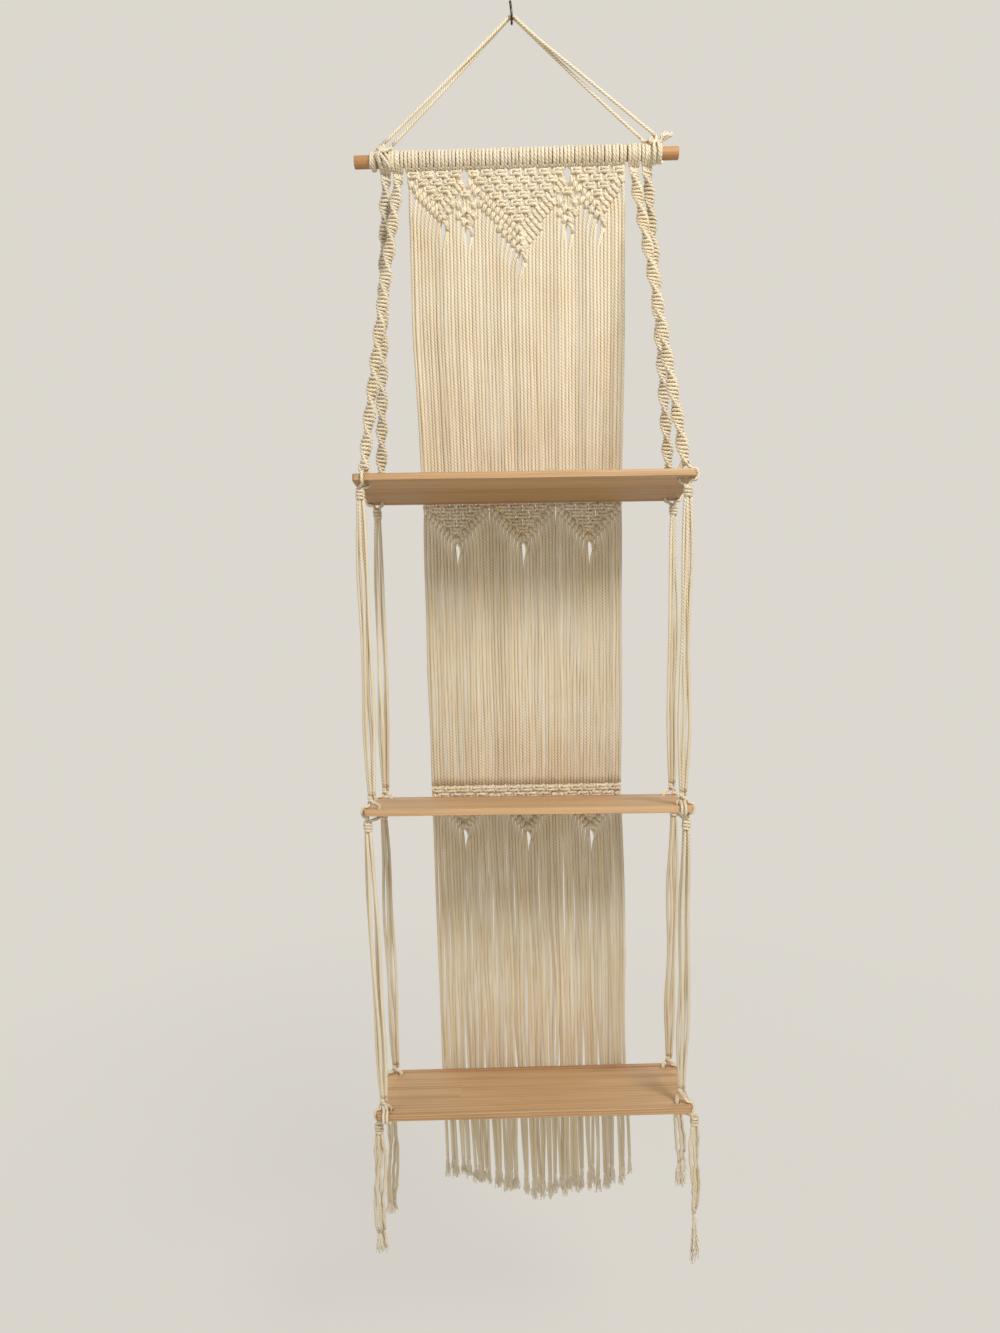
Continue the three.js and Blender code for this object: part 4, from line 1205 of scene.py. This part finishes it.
def bundle(corner, number, seed):
    name = corner[0]
    dice = random.Random(seed)
    top = corner_knots(corner, number)[1] - np.array([0, 0, KNOT_FOOT])
    foot = corner_knots(corner, number + 1)[0] + np.array([0, 0, BUNDLE_END - CROSS_DROP])
    turn = dice.uniform(-0.9, 0.9)
    ways = [[] for unused in BUNDLE_SPOTS]
    own = [(dice.uniform(0, 6.28), dice.uniform(1.0, 2.0), dice.uniform(0.8, 1.9))
           for unused in BUNDLE_SPOTS]
    centreline = []
    for step in range(BUNDLE_STEPS + 1):
        t = step / BUNDLE_STEPS
        middle = top + (foot - top) * t
        open_up = min(1.0, 4.2 * t, 4.2 * (1 - t)) ** 0.7
        across, out = turned(turn * (1 - t))
        for way, (a, o), (phase, waves, size) in zip(ways, BUNDLE_SPOTS, own):
            sway = size * open_up * math.sin(phase + waves * 2 * math.pi * t)
            narrow = 0.6 + 0.55 * open_up
            way.append(tuple(middle + across * (a * narrow + sway) + out * (o * narrow + sway * 0.6)))
        centreline.append(tuple(middle))
    strands = [(smooth(way), CORD / 2) for way in ways]
    where = "bundle_%s_%s" % (("upper", "lower")[number], name)
    piece = cording("loose_" + where, strands, seed, where)
    declare_cord(smooth(centreline))


for c, corner in enumerate(CORNERS):
    for b in (0, 1):
        bundle(corner, b, 81 + 4 * b + c)

# --- Tails ----------------------------------------------------------------------------------------
# Below the lowest board the four strands of each corner hang free. They are uneven, and their ends
# have come apart into yarns.

TAILS = {  # by corner: shift of the loose end, its height, where it frays, how wide it is there
    "front_left": (-3, -1556, -1515, 18),
    "back_left": (-5, -1590, -1565, 22),
    "front_right": (1, -1570, -1500, 25),
    "back_right": (5, -1551, -1505, 21),
}
TAIL_SPOTS = [(-4.4, 0.6), (-1.5, 2.6), (1.5, -2.4), (4.4, -0.2)]
TAIL_SPREAD = 7.2  # the furthest that a strand lies from the middle
TAIL_STEPS = 16
TAIL_YARNS = 18
TAIL_MARKS = 15  # steps of the middle line of a tail


def tail(corner, seed):
    name = corner[0]
    dice = random.Random(seed)
    top = corner_knots(corner, 2)[1] - np.array([0, 0, KNOT_FOOT])
    shift, end_z, fray_z, fray_wide = TAILS[name]
    turn = dice.uniform(-0.3, 0.3)
    strands, yarns = [], []
    for a, o in TAIL_SPOTS:
        last = fray_z + dice.uniform(-7, 7)
        phase, size, waves = dice.uniform(0, 6.28), dice.uniform(1.4, 2.8), dice.uniform(0.8, 1.5)
        way = []
        for step in range(TAIL_STEPS + 1):
            t = step / TAIL_STEPS
            angle = turn + 0.7 * t
            open_up = 0.65 + min(1.0, 4 * t) * 0.65
            sway = size * min(1.0, 3 * t) * math.sin(phase + waves * 2 * math.pi * t)
            curl = 0.8 * min(1.0, 5 * t) * math.sin(phase + 11 * math.pi * t)
            beside = np.array([a * open_up * math.cos(angle) + sway + curl,
                               a * math.sin(angle) - o * open_up + sway * 0.5, 0])
            beside *= min(1.0, TAIL_SPREAD / np.linalg.norm(beside))
            way.append(tuple(beside + (top[0] + shift * t, top[1], top[2] + (last - top[2]) * t)))
        line = smooth(way)
        strands.append((line, CORD / 2))
        length = last - end_z - dice.uniform(0, 10)
        yarns += frayed_end(line, length, fray_wide * dice.uniform(0.2, 0.34), dice, TAIL_YARNS)
    laid = cording("tail_strands_" + name, strands, seed, "tail_" + name)
    cording("tail_frayed_ends_" + name, yarns, seed + 4, ring=YARN_SIDES, cotton=FIBRE)
    middle = [tuple(np.mean([line[round(k / TAIL_MARKS * (len(line) - 1))] for line, unused in strands],
                            axis=0))
              for k in range(TAIL_MARKS + 1)]
    declare_cord(smooth(middle))


for c, corner in enumerate(CORNERS):
    tail(corner, 91 + c)

# --- Lashings on the dowel ------------------------------------------------------------------------
# Outside the corner cords the hanger's ends are wound round the dowel and tied over the heads of the
# outer sinnets. On the right the end stands up and has frayed into a tuft.

LASHING_STRAND = CORD / 2 * 0.97
LASHING_OVER = WRAP + CORD - 0.2  # from the dowel's axis to the middle of a cord that lies on another
TUFT_ROOT = np.array([179.5, -14, -151.5])
TUFT_TIP = np.array([190.5, -14, -140])
TUFT_YARNS = 60
TUFT_LONG = 18
TUFT_WIDE = 11
COILS = {"left": (-179.6, -173, 2.6, -60), "right": (174.8, 183.2, 3.9, -40)}  # x, x, turns, degrees
# For each strand: x, y and height over the hanger's foot where it starts, if it is one of the feet, and
# then x, degrees and distance from LASHING_OVER. The first goes on from the coil. On the left it
# climbs over the sinnet's heads and the feet are tied over it in a lump. On the right the feet run
# along the top into the coil, one after a small loop, and the last strand ends in the tuft.
LASHED = {
    "left": [
        ((), [(-170, 70, 0), (-164, 40, 0.5), (-157, 0, 0.3), (-152, -45, 0.2), (-151, -80, 0)]),
        ((-163, -21, 1), [(-162.5, 62, 2.4), (-167, 25, 2.2), (-161, -8, 3), (-156, -35, 1.5),
                          (-155, -70, 0)]),
        ((-166.5, -18, 0.5), [(-166, 60, 1), (-171, 20, 1), (-168, -25, 1), (-164, -60, 0)]),
        ((-153, -14, 1), [(-155, 85, 0), (-158, 55, 0.6), (-165, 30, 4), (-169, 0, 3), (-166, -30, 1)]),
        ((), [(-171, 75, 0.4), (-169, 45, 2.6), (-164, 22, 4.2), (-159, 30, 2.6), (-156, 60, 0.6),
              (-155, 90, 0)]),
    ],
    "right": [
        ((), []),
        ((176, -21, 1), [(175.6, 60, 2), (172.6, 34, 1.6), (172.4, 0, 0.6), (173.4, -45, 0),
                         (174, -80, -0.6)]),
        ((172.5, -18, 0.5), [(171, 72, 3.5), (168, 58, 3.5), (167.6, 46, 1.4), (171, 40, 1.4),
                             (176, 48, 1), (178.5, 20, -0.4), (179, -20, -0.6), (179.4, -60, -1)]),
        ((158, -14, 1), [(160, 88, 0.4), (165, 74, 0.8), (171, 66, 1), (177, 70, 0.6), (181, 100, 0)]),
        ((), [(164, 110, 0), (169, 92, 1.6), (174, 84, 2.6)]),
    ],
}


def wound(start, finish, turns, first, steps=10):
    """Turns of cord round the dowel, from one x to another."""
    return [round_dowel(start + (finish - start) * k / (steps * turns), first + 360 * k / steps)
            for k in range(round(steps * turns) + 1)]


def lashing(side, seed, *end):
    ways = []
    for foot, spots in LASHED[side]:
        way = [(foot[0], foot[1], HANGER_FOOT + foot[2])] if foot else []
        ways.append(way + [round_dowel(x, degrees, LASHING_OVER + out) for x, degrees, out in spots])
    ways[0] = wound(*COILS[side]) + ways[0]
    ways[-1] += end
    strands = [(smooth(way, turn=0.45), LASHING_STRAND) for way in ways]
    cording("lashing_turns_" + side, strands, seed, "lashing_" + side)


lashing("left", 101)
lashing("right", 102, tuple(TUFT_ROOT))
dice = random.Random(103)
up = (TUFT_TIP - TUFT_ROOT) / np.linalg.norm(TUFT_TIP - TUFT_ROOT)
stub = smooth([tuple(TUFT_ROOT - 4 * up), tuple(TUFT_ROOT), tuple(TUFT_ROOT + 3 * up)])
yarns = frayed_end(stub, TUFT_LONG, TUFT_WIDE, dice, TUFT_YARNS, up)
cording("frayed_tuft", yarns, 104, ring=YARN_SIDES, cotton=FIBRE)
